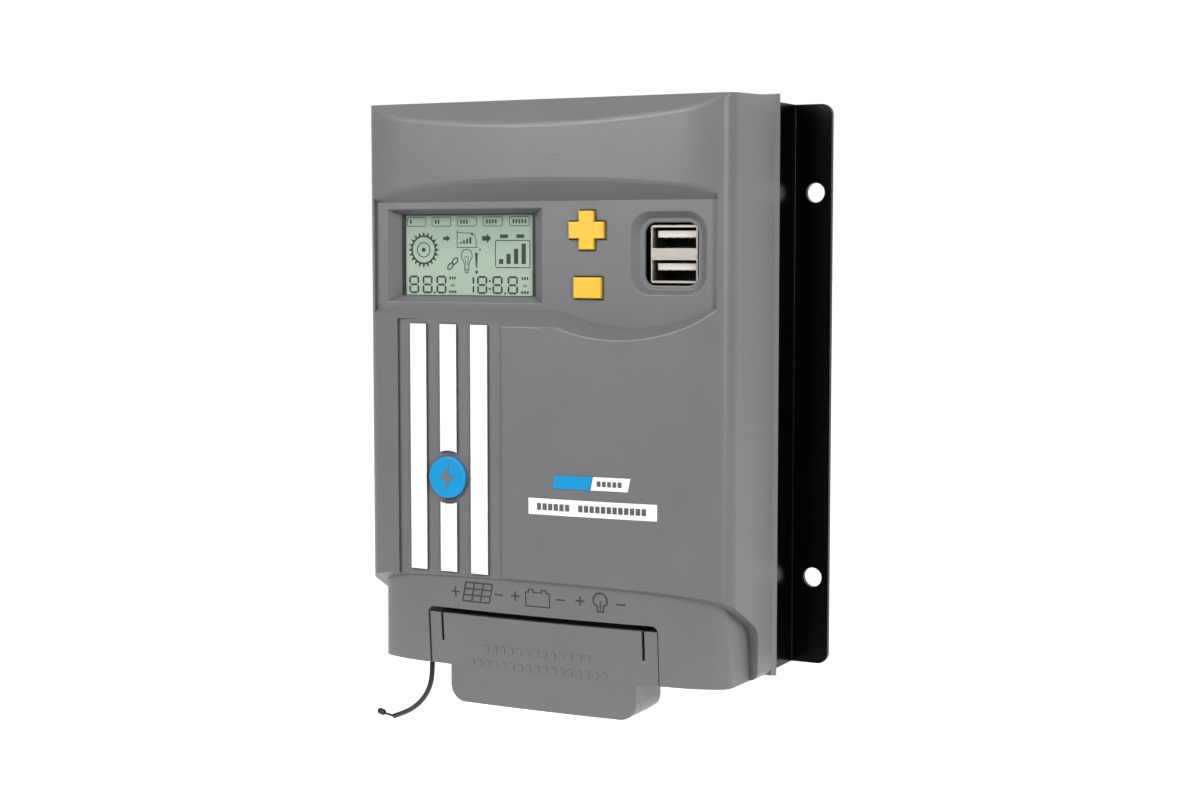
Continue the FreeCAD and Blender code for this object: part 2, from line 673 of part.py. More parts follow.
def mounting_bracket():
    y_web = SEAT_Y + SHEET
    inner_half = PLATE_HALF_WIDTH - SHEET
    height = (-PLATE_HALF_HEIGHT, PLATE_HALF_HEIGHT)
    web = box(-PLATE_HALF_WIDTH, PLATE_HALF_WIDTH, SEAT_Y, y_web, *height)
    side = box(inner_half, PLATE_HALF_WIDTH, SEAT_Y, 0.0, *height)
    flange = box(inner_half, FLANGE_HALF_WIDTH, -SHEET, 0.0, *height)
    bracket = fuse([web, side, flange, mirrored(side), mirrored(flange)])

    def at_bend(x, y):
        return lambda c: abs(abs(c.x) - x) < 0.01 and abs(c.y - y) < 0.01

    for x, y in ((PLATE_HALF_WIDTH, SEAT_Y), (inner_half, 0.0)):
        bracket = bracket.makeFillet(BEND_RADIUS, edges_along(bracket, Z_AXIS, at_bend(x, y)))
    for x, y in ((inner_half, y_web), (PLATE_HALF_WIDTH, -SHEET)):
        inside = BEND_RADIUS - SHEET
        bracket = bracket.makeFillet(inside, edges_along(bracket, Z_AXIS, at_bend(x, y)))
    corners = edges_along(bracket, Y_AXIS, lambda c: abs(c.x) > FLANGE_HALF_WIDTH - 0.01)
    bracket = bracket.makeFillet(FLANGE_CORNER_RADIUS, corners)
    holes = [rod_y(side * WALL_HOLE_SPACING_X / 2, up * WALL_HOLE_SPACING_Z / 2, WALL_HOLE_RADIUS,
                   -SHEET - 1.0, 1.0)
             for side in (-1, 1) for up in (-1, 1)]
    holes += [rod_y(x, z, M3_RADIUS + SCREW_PLAY, SEAT_Y - 1.0, y_web + 1.0)
              for x, z in shell_screw_places() + clamp_screw_places()]
    for hole in holes:
        bracket = bracket.cut(hole)
    return bracket


def shell_screws():
    head_y = SEAT_Y + SHEET
    return [pan_screw(x, z, head_y, -27.0, M3_RADIUS, M3_HEAD_RADIUS, 2.2)
            for x, z in shell_screw_places()]


# ------------------------------------------------------- stripes, badge, labels

def stripe_films(outer):
    """White films on the raised ribs: the outer pair, or the two halves of the middle one."""
    films = []
    for x, z0, z1 in stripe_places():
        if (abs(x - STRIPE_MIDDLE_X) > 1.0) == outer:
            top = FIELD_DEPTH - STRIPE_HEIGHT
            films.append(stripe_bar(x, z0, z1, top, top - FILM))
    return films


def badge_disc():
    floor = upper_block(FIELD_DEPTH)
    front = front_y_at(STRIPE_MIDDLE_X) + FIELD_DEPTH - BADGE_HEIGHT
    disc = rod_y(STRIPE_MIDDLE_X, BADGE_Z, BADGE_RADIUS, front, PANEL_Y)
    rim = [e for e in disc.Edges if e.Closed and abs(e.CenterOfMass.y - front) < 1e-6]
    return disc.makeFillet(0.4, rim).cut(floor)


def label_film(xz_points):
    """Thin film lying on the front surface."""
    layer = upper_block(-FILM).cut(upper_block(0.0))
    return prism_y(xz_points, FRONT_Y - 2.0, PANEL_Y).common(layer)


def model_plates():
    """Slanted two-tone label: the blue part and the white part."""
    x0, x1, z0, z1 = MODEL_PLATE
    gap = 0.1
    blue = label_film([(x0, z0), (MODEL_SPLIT_X - gap, z0), (MODEL_SPLIT_X + MODEL_SLANT - gap, z1),
                       (x0 + MODEL_SLANT, z1)])
    white = label_film([(MODEL_SPLIT_X + gap, z0), (x1, z0), (x1 + MODEL_SLANT, z1),
                        (MODEL_SPLIT_X + MODEL_SLANT + gap, z1)])
    return blue, white


def name_plate():
    x0, x1, z0, z1 = NAME_PLATE
    return label_film([(x0, z0), (x1, z0), (x1, z1), (x0, z1)])


# -------------------------------------------------------------------- display

def lcd_cell():
    x0, x1, z0, z1 = GLASS
    back = box(x0, x1, GLASS_FRONT_Y + 1.4, GLASS_BACK_Y, z0, z1)
    inset = 1.2
    front = box(x0, x1, GLASS_FRONT_Y, GLASS_FRONT_Y + 1.4, z0 + inset, z1 - inset)
    return fuse([back, front])


def lcd_backlight():
    x0, x1, z0, z1 = GLASS
    strip = 2.6
    return box(x0 + 0.2, x1 - 0.2, GLASS_BACK_Y, BACKLIGHT_BACK_Y, z0 + strip, z1 - strip)


def lcd_connector_strips():
    """Elastomer strips that carry the segment signals from the board to the glass."""
    x0, x1, z0, z1 = GLASS
    width = 2.0
    return [box(x0 + 1.0, x1 - 1.0, GLASS_BACK_Y, DISPLAY_BOARD_Y, z, z + width)
            for z in (z0 + 0.2, z1 - 0.2 - width)]


def lcd_bezel():
    """Holder that carries the glass and stands on the display board."""
    x0, x1, z0, z1 = BEZEL_OUTER
    frame = box(x0, x1, WINDOW_RIM_Y, DISPLAY_BOARD_Y, z0, z1)
    gx0, gx1, gz0, gz1 = GLASS
    pocket = box(gx0, gx1, GLASS_FRONT_Y, DISPLAY_BOARD_Y + 1.0, gz0, gz1)
    wx0, wx1, wz0, wz1 = WINDOW_INNER
    inset = 0.9
    window = box(wx0 + inset, wx1 - inset, WINDOW_RIM_Y - 1.0, GLASS_FRONT_Y + 0.1, wz0 + 0.2, wz1 - 0.2)
    return frame.cut(pocket).cut(window)


def display_board():
    board = rounded_block(DISPLAY_BOARD, 1.5, DISPLAY_BOARD_Y, DISPLAY_BOARD_Y + BOARD)
    for x, z in display_screw_places():
        board = board.cut(rod_y(x, z, M25_RADIUS + SCREW_PLAY, DISPLAY_BOARD_Y - 1, DISPLAY_BOARD_Y + 3))
    return board


def display_board_screws():
    head_y = DISPLAY_BOARD_Y + BOARD
    return [pan_screw(x, z, head_y, -35.0, M25_RADIUS, M25_HEAD_RADIUS, 1.6)
            for x, z in display_screw_places()]


# ----------------------------------------------------------------------- keys

def round_front(shape, radius):
    """Soften the front edges of a key."""
    front = [e for e in shape.Edges
             if e.BoundBox.YLength < 1e-6 and abs(e.CenterOfMass.y - KEY_FRONT_Y) < 1e-6]
    return shape.makeFillet(radius, front)


def plus_button():
    cap = round_front(plus_block(0.0, KEY_FRONT_Y, KEY_BACK_Y), 0.4)
    return fuse([cap, plus_block(KEY_FLANGE, KEY_FLANGE_Y, KEY_BACK_Y)])


def minus_button():
    cap = round_front(minus_block(0.0, KEY_FRONT_Y, KEY_BACK_Y), 0.4)
    return fuse([cap, minus_block(KEY_FLANGE, KEY_FLANGE_Y, KEY_BACK_Y)])


def key_places():
    return {"plus": (PLUS_X, PLUS_Z), "minus": (MINUS_X, MINUS_Z)}


def switch_plunger(x, z):
    """Stem from the back of the key into its switch."""
    return rod_y(x, z, PLUNGER_RADIUS, KEY_BACK_Y, DISPLAY_BOARD_Y - SWITCH_HEIGHT + 0.9)


def button_switches():
    half = SWITCH_SIZE / 2
    bodies = []
    for x, z in key_places().values():
        body = box(x - half, x + half, DISPLAY_BOARD_Y - SWITCH_HEIGHT, DISPLAY_BOARD_Y, z - half, z + half)
        bore = rod_y(x, z, PLUNGER_RADIUS + 0.08, DISPLAY_BOARD_Y - SWITCH_HEIGHT, DISPLAY_BOARD_Y - 1.8)
        bodies.append(body.cut(bore))
    return bodies


# ------------------------------------------------------------------------ USB

def usb_port_centres():
    offset = (USB_BAND + USB_PORT_HEIGHT) / 2
    return [USB_Z - offset, USB_Z + offset]


def usb_shell():
    """Tin-plated can with two ports and a hollow band between them."""
    half_w = USB_WIDTH / 2
    half_h = USB_HEIGHT / 2
    can = box(USB_X - half_w, USB_X + half_w, USB_FRONT_Y, DISPLAY_BOARD_Y, USB_Z - half_h, USB_Z + half_h)
    can = can.makeFillet(0.6, edges_along(can, Y_AXIS))
    inner = half_w - USB_SIDE_WALL
    for z in usb_port_centres():
        half_p = USB_PORT_HEIGHT / 2
        can = can.cut(box(USB_X - inner, USB_X + inner, USB_FRONT_Y - 1.0, USB_BLOCK_Y,
                          z - half_p, z + half_p))
    half_b = USB_BAND / 2 - USB_DIVIDER
    can = can.cut(box(USB_X - inner, USB_X + inner, USB_FRONT_Y + USB_DIVIDER, USB_BLOCK_Y,
                      USB_Z - half_b, USB_Z + half_b))
    return can.cut(usb_block())


def usb_block():
    """Rear of the plastic insert, which closes the can."""
    half_w = USB_WIDTH / 2 - USB_SIDE_WALL
    half_h = USB_BAND / 2 + USB_PORT_HEIGHT
    return box(USB_X - half_w, USB_X + half_w, USB_BLOCK_Y, DISPLAY_BOARD_Y, USB_Z - half_h, USB_Z + half_h)


def usb_tongue_box(z):
    """Tongue a little above the middle of its port."""
    half_w = USB_TONGUE_WIDTH / 2
    low = z + 0.1
    return box(USB_X - half_w, USB_X + half_w, USB_TONGUE_FRONT_Y, USB_BLOCK_Y, low,
               low + USB_TONGUE_THICKNESS)


def usb_insulator():
    return fuse([usb_block()] + [usb_tongue_box(z) for z in usb_port_centres()])


def usb_contacts():
    """Four gilt contacts under each tongue."""
    contacts = []
    for z in usb_port_centres():
        low = z + 0.1
        for index in range(4):
            x = USB_X + (index - 1.5) * 2.4
            contacts.append(box(x - 0.5, x + 0.5, USB_TONGUE_FRONT_Y + 0.8, USB_BLOCK_Y, low - 0.25, low))
    return contacts


# ----------------------------------------------------------------- main board

def standoff_places():
    return [(side * 45.0, z) for z in (54.0, 0.0, -58.0) for side in (-1, 1)]


def main_board():
    x0, x1, z0, z1 = MAIN_BOARD
    y1 = MAIN_BOARD_Y + BOARD
    board = box(x0, x1, MAIN_BOARD_Y, y1, z0, z1)
    notch = box(BOARD_NOTCH_X, x1 + 1.0, MAIN_BOARD_Y - 1.0, y1 + 1.0, z0 - 1.0, BOARD_NOTCH_Z)
    board = board.cut(notch).cut(mirrored(notch))
    for x, z in standoff_places():
        board = board.cut(rod_y(x, z, M3_RADIUS + SCREW_PLAY, MAIN_BOARD_Y - 1.0, y1 + 1.0))
    return board


def hexagon_post(x, z, across, y0, y1):
    radius = across / math.sqrt(3.0)
    corners = [(x + radius * math.cos(math.radians(60 * i)), z + radius * math.sin(math.radians(60 * i)))
               for i in range(6)]
    return prism_y(corners, y0, y1)


def board_standoffs():
    y0 = MAIN_BOARD_Y + BOARD
    return [hexagon_post(x, z, 5.5, y0, SEAT_Y).cut(rod_y(x, z, M3_RADIUS + SCREW_PLAY, y0 - 1, SEAT_Y + 1))
            for x, z in standoff_places()]


def main_board_screws():
    return [pan_screw(x, z, MAIN_BOARD_Y, SEAT_Y - 0.6, M3_RADIUS, M3_HEAD_RADIUS, 2.2)
            for x, z in standoff_places()]


def bulk_capacitors():
    top_y = MAIN_BOARD_Y - CAPACITOR_HEIGHT
    cans = []
    for x in CAPACITOR_X:
        can = rod_y(x, CAPACITOR_Z, CAPACITOR_RADIUS, top_y, MAIN_BOARD_Y)
        rim = [e for e in can.Edges if e.Closed and e.CenterOfMass.y < top_y + 0.1]
        cans.append(can.makeFillet(1.0, rim))
    return cans


def inductor_core():
    y0 = CORE_Y - CORE_HALF_HEIGHT
    y1 = CORE_Y + CORE_HALF_HEIGHT
    ring = rod_y(INDUCTOR_X, INDUCTOR_Z, CORE_OUTER, y0, y1)
    return ring.cut(rod_y(INDUCTOR_X, INDUCTOR_Z, CORE_INNER, y0 - 1.0, y1 + 1.0))


def inductor_winding():
    """Separate turns of copper round the ring, each a small frame."""
    turns = 18
    half = CORE_HALF_HEIGHT + WIRE
    frame = box(INDUCTOR_X + CORE_INNER - WIRE, INDUCTOR_X + CORE_OUTER + WIRE,
                CORE_Y - half, CORE_Y + half, INDUCTOR_Z - WIRE / 2, INDUCTOR_Z + WIRE / 2)
    core = inductor_core()
    centre = Vector(INDUCTOR_X, 0, INDUCTOR_Z)
    loops = []
    for turn in range(turns):
        loop = frame.copy()
        loop.rotate(centre, Y_AXIS, 360.0 * turn / turns)
        loops.append(loop.cut(core))
    return loops


def transistor_places():
    return [(index - 2.5) * 15.0 for index in range(6)]


def power_transistors():
    """Flat power devices on the steel plate, their legs under the board's edge."""
    parts = []
    leg_y = (-18.5, -18.0)
    for x in transistor_places():
        pieces = [box(x - 5.1, x + 5.1, TRANSISTOR_FRONT_Y, PAD_Y, TRANSISTOR_LOW_Z, TRANSISTOR_HIGH_Z)]
        for offset in (-2.54, 0.0, 2.54):
            a = x + offset - 0.4
            b = x + offset + 0.4
            pieces.append(box(a, b, leg_y[0], leg_y[1], 57.0, TRANSISTOR_LOW_Z))
            pieces.append(box(a, b, MAIN_BOARD_Y + BOARD, leg_y[1], 57.0, 57.8))
        parts.append(fuse(pieces))
    return parts


def clamp_screw_places():
    return [(x, 70.0) for x in (-30.0, 0.0, 30.0)]


def thermal_pad():
    pad = box(-44.0, 44.0, PAD_Y, SEAT_Y, TRANSISTOR_LOW_Z - 1.0, TRANSISTOR_HIGH_Z + 0.5)
    for x, z in clamp_screw_places():
        pad = pad.cut(rod_y(x, z, M3_RADIUS + SCREW_PLAY, PAD_Y - 1.0, SEAT_Y + 1.0))
    return pad


def transistor_clamp_bar():
    bar = box(-43.5, 43.5, TRANSISTOR_FRONT_Y - 2.5, TRANSISTOR_FRONT_Y, 66.0, 74.0)
    bar = bar.makeFillet(1.0, edges_along(bar, X_AXIS, lambda c: c.y < TRANSISTOR_FRONT_Y - 2.0))
    for x, z in clamp_screw_places():
        bar = bar.cut(rod_y(x, z, M3_RADIUS + SCREW_PLAY, -30.0, -10.0))
    return bar


def clamp_bar_screws():
    return [pan_screw(x, z, TRANSISTOR_FRONT_Y - 2.5, SEAT_Y + SHEET, M3_RADIUS, M3_HEAD_RADIUS, 2.2)
            for x, z in clamp_screw_places()]


def control_chip():
    return box(8.0, 20.0, MAIN_BOARD_Y - 1.4, MAIN_BOARD_Y, 28.0, 40.0)


def driver_chips():
    return [box(x - 2.0, x + 2.0, MAIN_BOARD_Y - 1.6, MAIN_BOARD_Y, 44.0, 50.0)
            for x in (-30.0, -10.0, 10.0, 30.0)]


def shunt_resistors():
    """Bent metal strips that the currents are measured across."""
    strips = []
    for x in (-33.0, -11.0, 11.0):
        outer = box(x - 8.0, x + 8.0, MAIN_BOARD_Y - 4.0, MAIN_BOARD_Y, -56.0, -52.0)
        strips.append(outer.cut(box(x - 7.0, x + 7.0, MAIN_BOARD_Y - 3.0, MAIN_BOARD_Y + 1, -57.0, -51.0)))
    return strips


def board_fuses():
    return [box(x - 9.0, x + 9.0, MAIN_BOARD_Y - 8.0, MAIN_BOARD_Y, -46.0, -41.0)
            for x in (-22.0, 0.0)]


def ribbon_sockets():
    display_back = DISPLAY_BOARD_Y + BOARD
    return [box(-25.0, -5.0, display_back, display_back + 2.0, 16.0, 20.0),
            box(-25.0, -5.0, MAIN_BOARD_Y - 2.0, MAIN_BOARD_Y, 4.0, 8.0)]


def ribbon_cable():
    """Flat cable from the upper socket down to the lower one."""
    return prism_x([(-24.8, 16.0), (-24.0, 16.0), (-22.2, 8.0), (-23.0, 8.0)], -24.0, -6.0)


# ------------------------------------------------------------------ terminals

def pole_places():
    return [(index - (POLES - 1) / 2) * POLE_PITCH for index in range(POLES)]


def terminal_bar(x):
    """Fixed current bar that each screw presses on, with its leg to the board."""
    half = BAR_WIDTH / 2
    top_z = -66.6
    upright = box(x - half, x + half, BAR_FRONT_Y, BAR_FRONT_Y + BAR_THICKNESS, -78.2, top_z)
    leg = box(x - half, x + half, BAR_FRONT_Y, MAIN_BOARD_Y, top_z - BAR_THICKNESS, top_z)
    return fuse([upright, leg])


def terminal_block():
    half = POLES * POLE_PITCH / 2
    block = box(-half, half, BLOCK_FRONT_Y, MAIN_BOARD_Y, BLOCK_BOTTOM_Z, BLOCK_TOP_Z)
    for x in pole_places():
        chamber_half = CHAMBER_WIDTH / 2
        block = block.cut(box(x - chamber_half, x + chamber_half, CHAMBER_FRONT_Y, CHAMBER_BACK_Y,
                              BLOCK_BOTTOM_Z - 1.0, CHAMBER_TOP_Z))
        block = block.cut(rod_y(x, TERMINAL_AXIS_Z, TERMINAL_HEAD_RADIUS + 0.2,
                                BLOCK_FRONT_Y - 1.0, CHAMBER_FRONT_Y))
        block = block.cut(terminal_bar(x))
    return block


def terminal_screw(x):
    """Captive clamp screw with a slotted head."""
    head = rod_y(x, TERMINAL_AXIS_Z, TERMINAL_HEAD_RADIUS, BLOCK_FRONT_Y + 0.2, CHAMBER_FRONT_Y)
    shank = rod_y(x, TERMINAL_AXIS_Z, TERMINAL_SCREW_RADIUS, CHAMBER_FRONT_Y, BAR_FRONT_Y)
    slot = box(x - TERMINAL_HEAD_RADIUS, x + TERMINAL_HEAD_RADIUS, BLOCK_FRONT_Y, BLOCK_FRONT_Y + 1.3,
               TERMINAL_AXIS_Z - 0.4, TERMINAL_AXIS_Z + 0.4)
    return fuse([head, shank]).cut(slot)


def clamp_cage(x):
    """Square tube round the current bar; the screw draws it forward onto the wire."""
    half = CAGE_WIDTH / 2
    cage = box(x - half, x + half, CAGE_FRONT_Y, CAGE_BACK_Y, CAGE_BOTTOM_Z, CAGE_TOP_Z)
    inside = box(x - half + CAGE_WALL, x + half - CAGE_WALL, CAGE_FRONT_Y + CAGE_NUT,
                 CAGE_BACK_Y - CAGE_WALL, CAGE_BOTTOM_Z - 1.0, CAGE_TOP_Z + 1.0)
    bore = rod_y(x, TERMINAL_AXIS_Z, TERMINAL_SCREW_RADIUS + SCREW_PLAY, CAGE_FRONT_Y - 1.0,
                 CAGE_FRONT_Y + CAGE_NUT + 0.5)
    return cage.cut(inside).cut(bore)


def terminal_cover():
    """Snap-on cover: plate flush with the housing, and a hood for the cables."""
    drop = HOOD_BOTTOM_Z
    skin = housing_block(COVER_SET_BACK).cut(housing_block(COVER_SET_BACK + COVER_THICKNESS))
    plate = skin.common(box(-COVER_HALF_WIDTH, COVER_HALF_WIDTH, -60.0, -40.0, BOTTOM_Z, COVER_TOP_Z))

    low_y = HOUSING_BOTTOM_Y + COVER_SET_BACK
    layers = []
    for inset in (0.0, COVER_THICKNESS):
        face = outline_face(HOUSING_BOTTOM_HALF_WIDTH, HOUSING_BOTTOM_HALF_WIDTH, low_y, drop, inset,
                            HOOD_BACK_Y)
        layers.append(face.extrude(Vector(0, 0, BOTTOM_Z - drop)))
    front = layers[0].cut(layers[1])
    outline = rounded_block((-HOOD_HALF_WIDTH, HOOD_HALF_WIDTH, drop, BOTTOM_Z + 10.0),
                            HOOD_CORNER_RADIUS, -60.0, 0.0)
    hood = layers[0].common(outline)
    inner_half = HOOD_HALF_WIDTH - COVER_THICKNESS
    sides = hood.cut(box(-inner_half, inner_half, -60.0, 0.0, drop - 5.0, BOTTOM_Z + 10.0))
    rise = prism_x([(-40.0, drop - 1.0), (HOOD_BACK_Y + 1.0, drop - 1.0),
                    (HOOD_BACK_Y + 1.0, drop + HOOD_BACK_RISE), (-40.0, drop)], -40.0, 40.0)
    cover = fuse([plate, front.common(outline), sides.cut(rise)])
    for side in (-1, 1):
        x = side * COVER_SLIT_X
        cover = cover.cut(box(x - COVER_SLIT_WIDTH / 2, x + COVER_SLIT_WIDTH / 2, -60.0, -40.0,
                              COVER_SLIT_BOTTOM_Z, -60.0))
    return cover


# ---------------------------------------------------------------- sensor lead

def route_wire(points):
    """Straight runs joined by tangent arcs, and the arcs' radii."""
    edges = []
    radii = []
    start = points[0]
    for before, corner, after in zip(points, points[1:], points[2:]):
        back = (before - corner)
        ahead = (after - corner)
        run = min(back.Length, ahead.Length)
        back.normalize()
        ahead.normalize()
        half_turn = (math.pi - back.getAngle(ahead)) / 2
        reach = 0.45 * run
        radius = reach / math.tan(half_turn)
        radii.append(radius)
        bisector = back + ahead
        bisector.normalize()
        middle = corner + bisector * (radius / math.cos(half_turn) - radius)
        first = corner + back * reach
        last = corner + ahead * reach
        edges.append(Part.LineSegment(start, first).toShape())
        edges.append(Part.Arc(first, middle, last).toShape())
        start = last
    edges.append(Part.LineSegment(start, points[-1]).toShape())
    return Part.Wire(edges), radii


def sensor_lead():
    points = [Vector(*place) for place in LEAD_ROUTE]
    wire, radii = route_wire(points)
    direction = points[1] - points[0]
    circle = Part.Wire([Part.makeCircle(LEAD_RADIUS, points[0], direction)])
    tube = wire.makePipeShell([circle], True, False)
    section = math.pi * LEAD_RADIUS ** 2
    print("sensor lead length %.1f, radii %s" % (wire.Length, ["%.1f" % r for r in radii]))
    print("tube volume %.2f, section x length %.2f" % (tube.Volume, section * wire.Length))
    return tube


def lead_end():
    """Last point of the lead and the direction in which it arrives."""
    last = Vector(*LEAD_ROUTE[-1])
    direction = last - Vector(*LEAD_ROUTE[-2])
    direction.normalize()
    return last, direction


def sensor_bead():
    """Small resin bead of the sensor, lying on its side past the legs."""
    last, direction = lead_end()
    start = last + Vector(-3.4, 0.3, 0.4)
    bead = Part.makeCylinder(BEAD_RADIUS, BEAD_LENGTH, start, Vector(-1, 0.1, 0.25))
    return bead.makeFillet(BEAD_RADIUS * 0.85, [e for e in bead.Edges if e.Closed])


def sensor_legs():
    """The two bare legs between the lead and the bead."""
    last, direction = lead_end()
    legs = []
    for side in (-1, 1):
        offset = Vector(0, side * 0.32, 0)
        a = last + offset
        b = last + Vector(-3.4, 0.3, 0.4) + offset
        legs.append(Part.makeCylinder(LEG_RADIUS, (b - a).Length, a, b - a))
    bead = sensor_bead()
    tube_end = Part.makeCylinder(LEAD_RADIUS, 2.0, last, direction * -1)
    return [leg.cut(bead).cut(tube_end) for leg in legs]


def sensor_grommet():
    x, y, z = LEAD_ROUTE[0]
    return rod_z(x, y, GROMMET_RADIUS, BOTTOM_Z, BOTTOM_Z + GROMMET_HEIGHT)


# ---------------------------------------------------------------------- output

def save(name, shape):
    """Write one node; a list becomes a group of separate solids."""
    if isinstance(shape, list):
        shape = Part.makeCompound(shape)
    for solid in shape.Solids:
        if not solid.isValid():
            print("INVALID solid in", name)
    print("%-24s solids %2d volume %9.1f" % (name, len(shape.Solids), shape.Volume))
    shape.exportStep("parts/%s.step" % name)


def main():
    os.makedirs("parts", exist_ok=True)
    save("front_shell", front_shell())
    save("mounting_bracket", mounting_bracket())
    save("shell_screws", shell_screws())
    save("side_stripes", stripe_films(outer=True))
    save("centre_stripes", stripe_films(outer=False))
    save("badge_disc", badge_disc())
    blue, white = model_plates()
    save("model_plate_blue", blue)
    save("model_plate_white", white)
    save("name_plate", name_plate())

    save("lcd_cell", lcd_cell())
    save("lcd_backlight", lcd_backlight())
    save("lcd_connector_strips", lcd_connector_strips())
    save("lcd_bezel", lcd_bezel())
    save("display_board", display_board())
    save("display_board_screws", display_board_screws())
    save("plus_button", plus_button())
    save("minus_button", minus_button())
    for name, (x, z) in key_places().items():
        save("%s_switch_plunger" % name, switch_plunger(x, z))
    save("button_switches", button_switches())
    save("usb_shell", usb_shell())
    save("usb_insulator", usb_insulator())
    save("usb_contacts", usb_contacts())

    save("main_board", main_board())
    save("board_standoffs", board_standoffs())
    save("main_board_screws", main_board_screws())
    save("bulk_capacitors", bulk_capacitors())
    save("inductor_core", inductor_core())
    save("inductor_winding", inductor_winding())
    save("power_transistors", power_transistors())
    save("thermal_pad", thermal_pad())
    save("transistor_clamp_bar", transistor_clamp_bar())
    save("clamp_bar_screws", clamp_bar_screws())
    save("control_chip", control_chip())
    save("driver_chips", driver_chips())
    save("shunt_resistors", shunt_resistors())
    save("board_fuses", board_fuses())
    save("ribbon_sockets", ribbon_sockets())
    save("ribbon_cable", ribbon_cable())

    save("terminal_block", terminal_block())
    save("terminal_bars", [terminal_bar(x) for x in pole_places()])
    for index, x in enumerate(pole_places(), start=1):
        save("terminal_screw_%d" % index, terminal_screw(x))
        save("clamp_cage_%d" % index, clamp_cage(x))
    save("terminal_cover", terminal_cover())

    save("sensor_grommet", sensor_grommet())
    save("sensor_lead", sensor_lead())
    save("sensor_legs", sensor_legs())
    save("sensor_bead", sensor_bead())


main()
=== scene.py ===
"""Looks of the wall-mounted solar charge controller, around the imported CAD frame. In metres."""
import json
import math

import bpy
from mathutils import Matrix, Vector
from mathutils.bvhtree import BVHTree


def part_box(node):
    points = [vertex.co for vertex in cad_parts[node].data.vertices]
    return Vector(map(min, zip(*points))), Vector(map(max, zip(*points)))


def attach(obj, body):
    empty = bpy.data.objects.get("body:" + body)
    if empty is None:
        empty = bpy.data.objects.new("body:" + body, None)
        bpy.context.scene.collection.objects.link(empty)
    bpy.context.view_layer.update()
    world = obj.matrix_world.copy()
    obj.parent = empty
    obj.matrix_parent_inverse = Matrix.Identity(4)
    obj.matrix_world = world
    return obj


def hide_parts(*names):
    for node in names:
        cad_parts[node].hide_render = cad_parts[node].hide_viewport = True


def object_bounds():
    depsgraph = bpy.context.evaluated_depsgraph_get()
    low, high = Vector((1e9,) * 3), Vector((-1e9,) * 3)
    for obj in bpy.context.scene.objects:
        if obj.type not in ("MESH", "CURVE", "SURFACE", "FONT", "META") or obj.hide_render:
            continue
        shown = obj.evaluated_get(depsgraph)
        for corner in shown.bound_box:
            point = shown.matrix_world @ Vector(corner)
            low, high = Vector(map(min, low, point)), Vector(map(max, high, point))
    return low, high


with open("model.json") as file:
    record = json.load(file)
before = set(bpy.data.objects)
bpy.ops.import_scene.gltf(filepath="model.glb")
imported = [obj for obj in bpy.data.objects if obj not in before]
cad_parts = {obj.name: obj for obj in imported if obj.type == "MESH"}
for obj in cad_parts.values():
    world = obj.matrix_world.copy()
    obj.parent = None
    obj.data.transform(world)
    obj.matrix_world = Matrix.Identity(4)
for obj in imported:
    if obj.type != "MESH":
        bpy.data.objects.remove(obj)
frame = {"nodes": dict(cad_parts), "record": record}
cad_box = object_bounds()
nodes = frame["nodes"]
MM = 0.001


# ------------------------------------------------------------------- the view

CAMERA_PLACE = (0.26384, -0.53192, 0.0394)
CAMERA_TILT = 85.61
CAMERA_TURN = 26.77
LENS_LENGTH = 59.92
SENSOR_WIDTH = 36.0

# The surround's light, by how far a direction points along Y, from 0 to 1.
FRONT_STRENGTH = 0.20
BACK_STRENGTH = 1.02
FULL_STRENGTH_FROM = 0.6

FLOOR_HALF = 8.0
COVER_TRAVEL = 0.030
FLOOR_GAP = 0.006
# Y up to which the floor is grey with no glow, and Y from which it is pale with its full painted glow.
FLOOR_GREY_TO = -0.22
FLOOR_PALE_FROM = -0.04


def make_camera():
    """Camera at the photograph's viewing angle: from the front right, a little above."""
    data = bpy.data.cameras.new("camera")
    data.lens = LENS_LENGTH
    data.sensor_width = SENSOR_WIDTH
    data.clip_start = 0.02
    data.clip_end = 20.0
    camera = bpy.data.objects.new("camera", data)
    camera.location = CAMERA_PLACE
    camera.rotation_euler = (math.radians(CAMERA_TILT), 0.0, math.radians(CAMERA_TURN))
    bpy.context.scene.collection.objects.link(camera)
    bpy.context.scene.camera = camera


def area_light(name, place, target, size, power):
    """Rectangular soft box at a place, turned to its target."""
    data = bpy.data.lights.new(name, "AREA")
    data.shape = "RECTANGLE"
    data.size, data.size_y = size
    data.energy = power
    light = bpy.data.objects.new(name, data)
    light.location = place
    light.rotation_euler = (Vector(target) - Vector(place)).to_track_quat("-Z", "Y").to_euler()
    bpy.context.scene.collection.objects.link(light)


def make_surround():
    """Surround that is white behind the object and dim in front of it."""
    world = bpy.data.worlds.new("studio")
    world.use_nodes = True
    tree = world.node_tree
    place = tree.nodes.new("ShaderNodeTexCoord")
    axes = tree.nodes.new("ShaderNodeSeparateXYZ")
    strength = tree.nodes.new("ShaderNodeMapRange")
    strength.inputs["From Min"].default_value = 0.0
    strength.inputs["From Max"].default_value = FULL_STRENGTH_FROM
    strength.inputs["To Min"].default_value = FRONT_STRENGTH
    strength.inputs["To Max"].default_value = BACK_STRENGTH
    tree.links.new(place.outputs["Generated"], axes.inputs["Vector"])
    tree.links.new(axes.outputs["Y"], strength.inputs["Value"])
    tree.links.new(strength.outputs["Result"], tree.nodes["Background"].inputs["Strength"])
    tree.nodes["Background"].inputs["Color"].default_value = (1.0, 1.0, 1.0, 1.0)
    bpy.context.scene.world = world


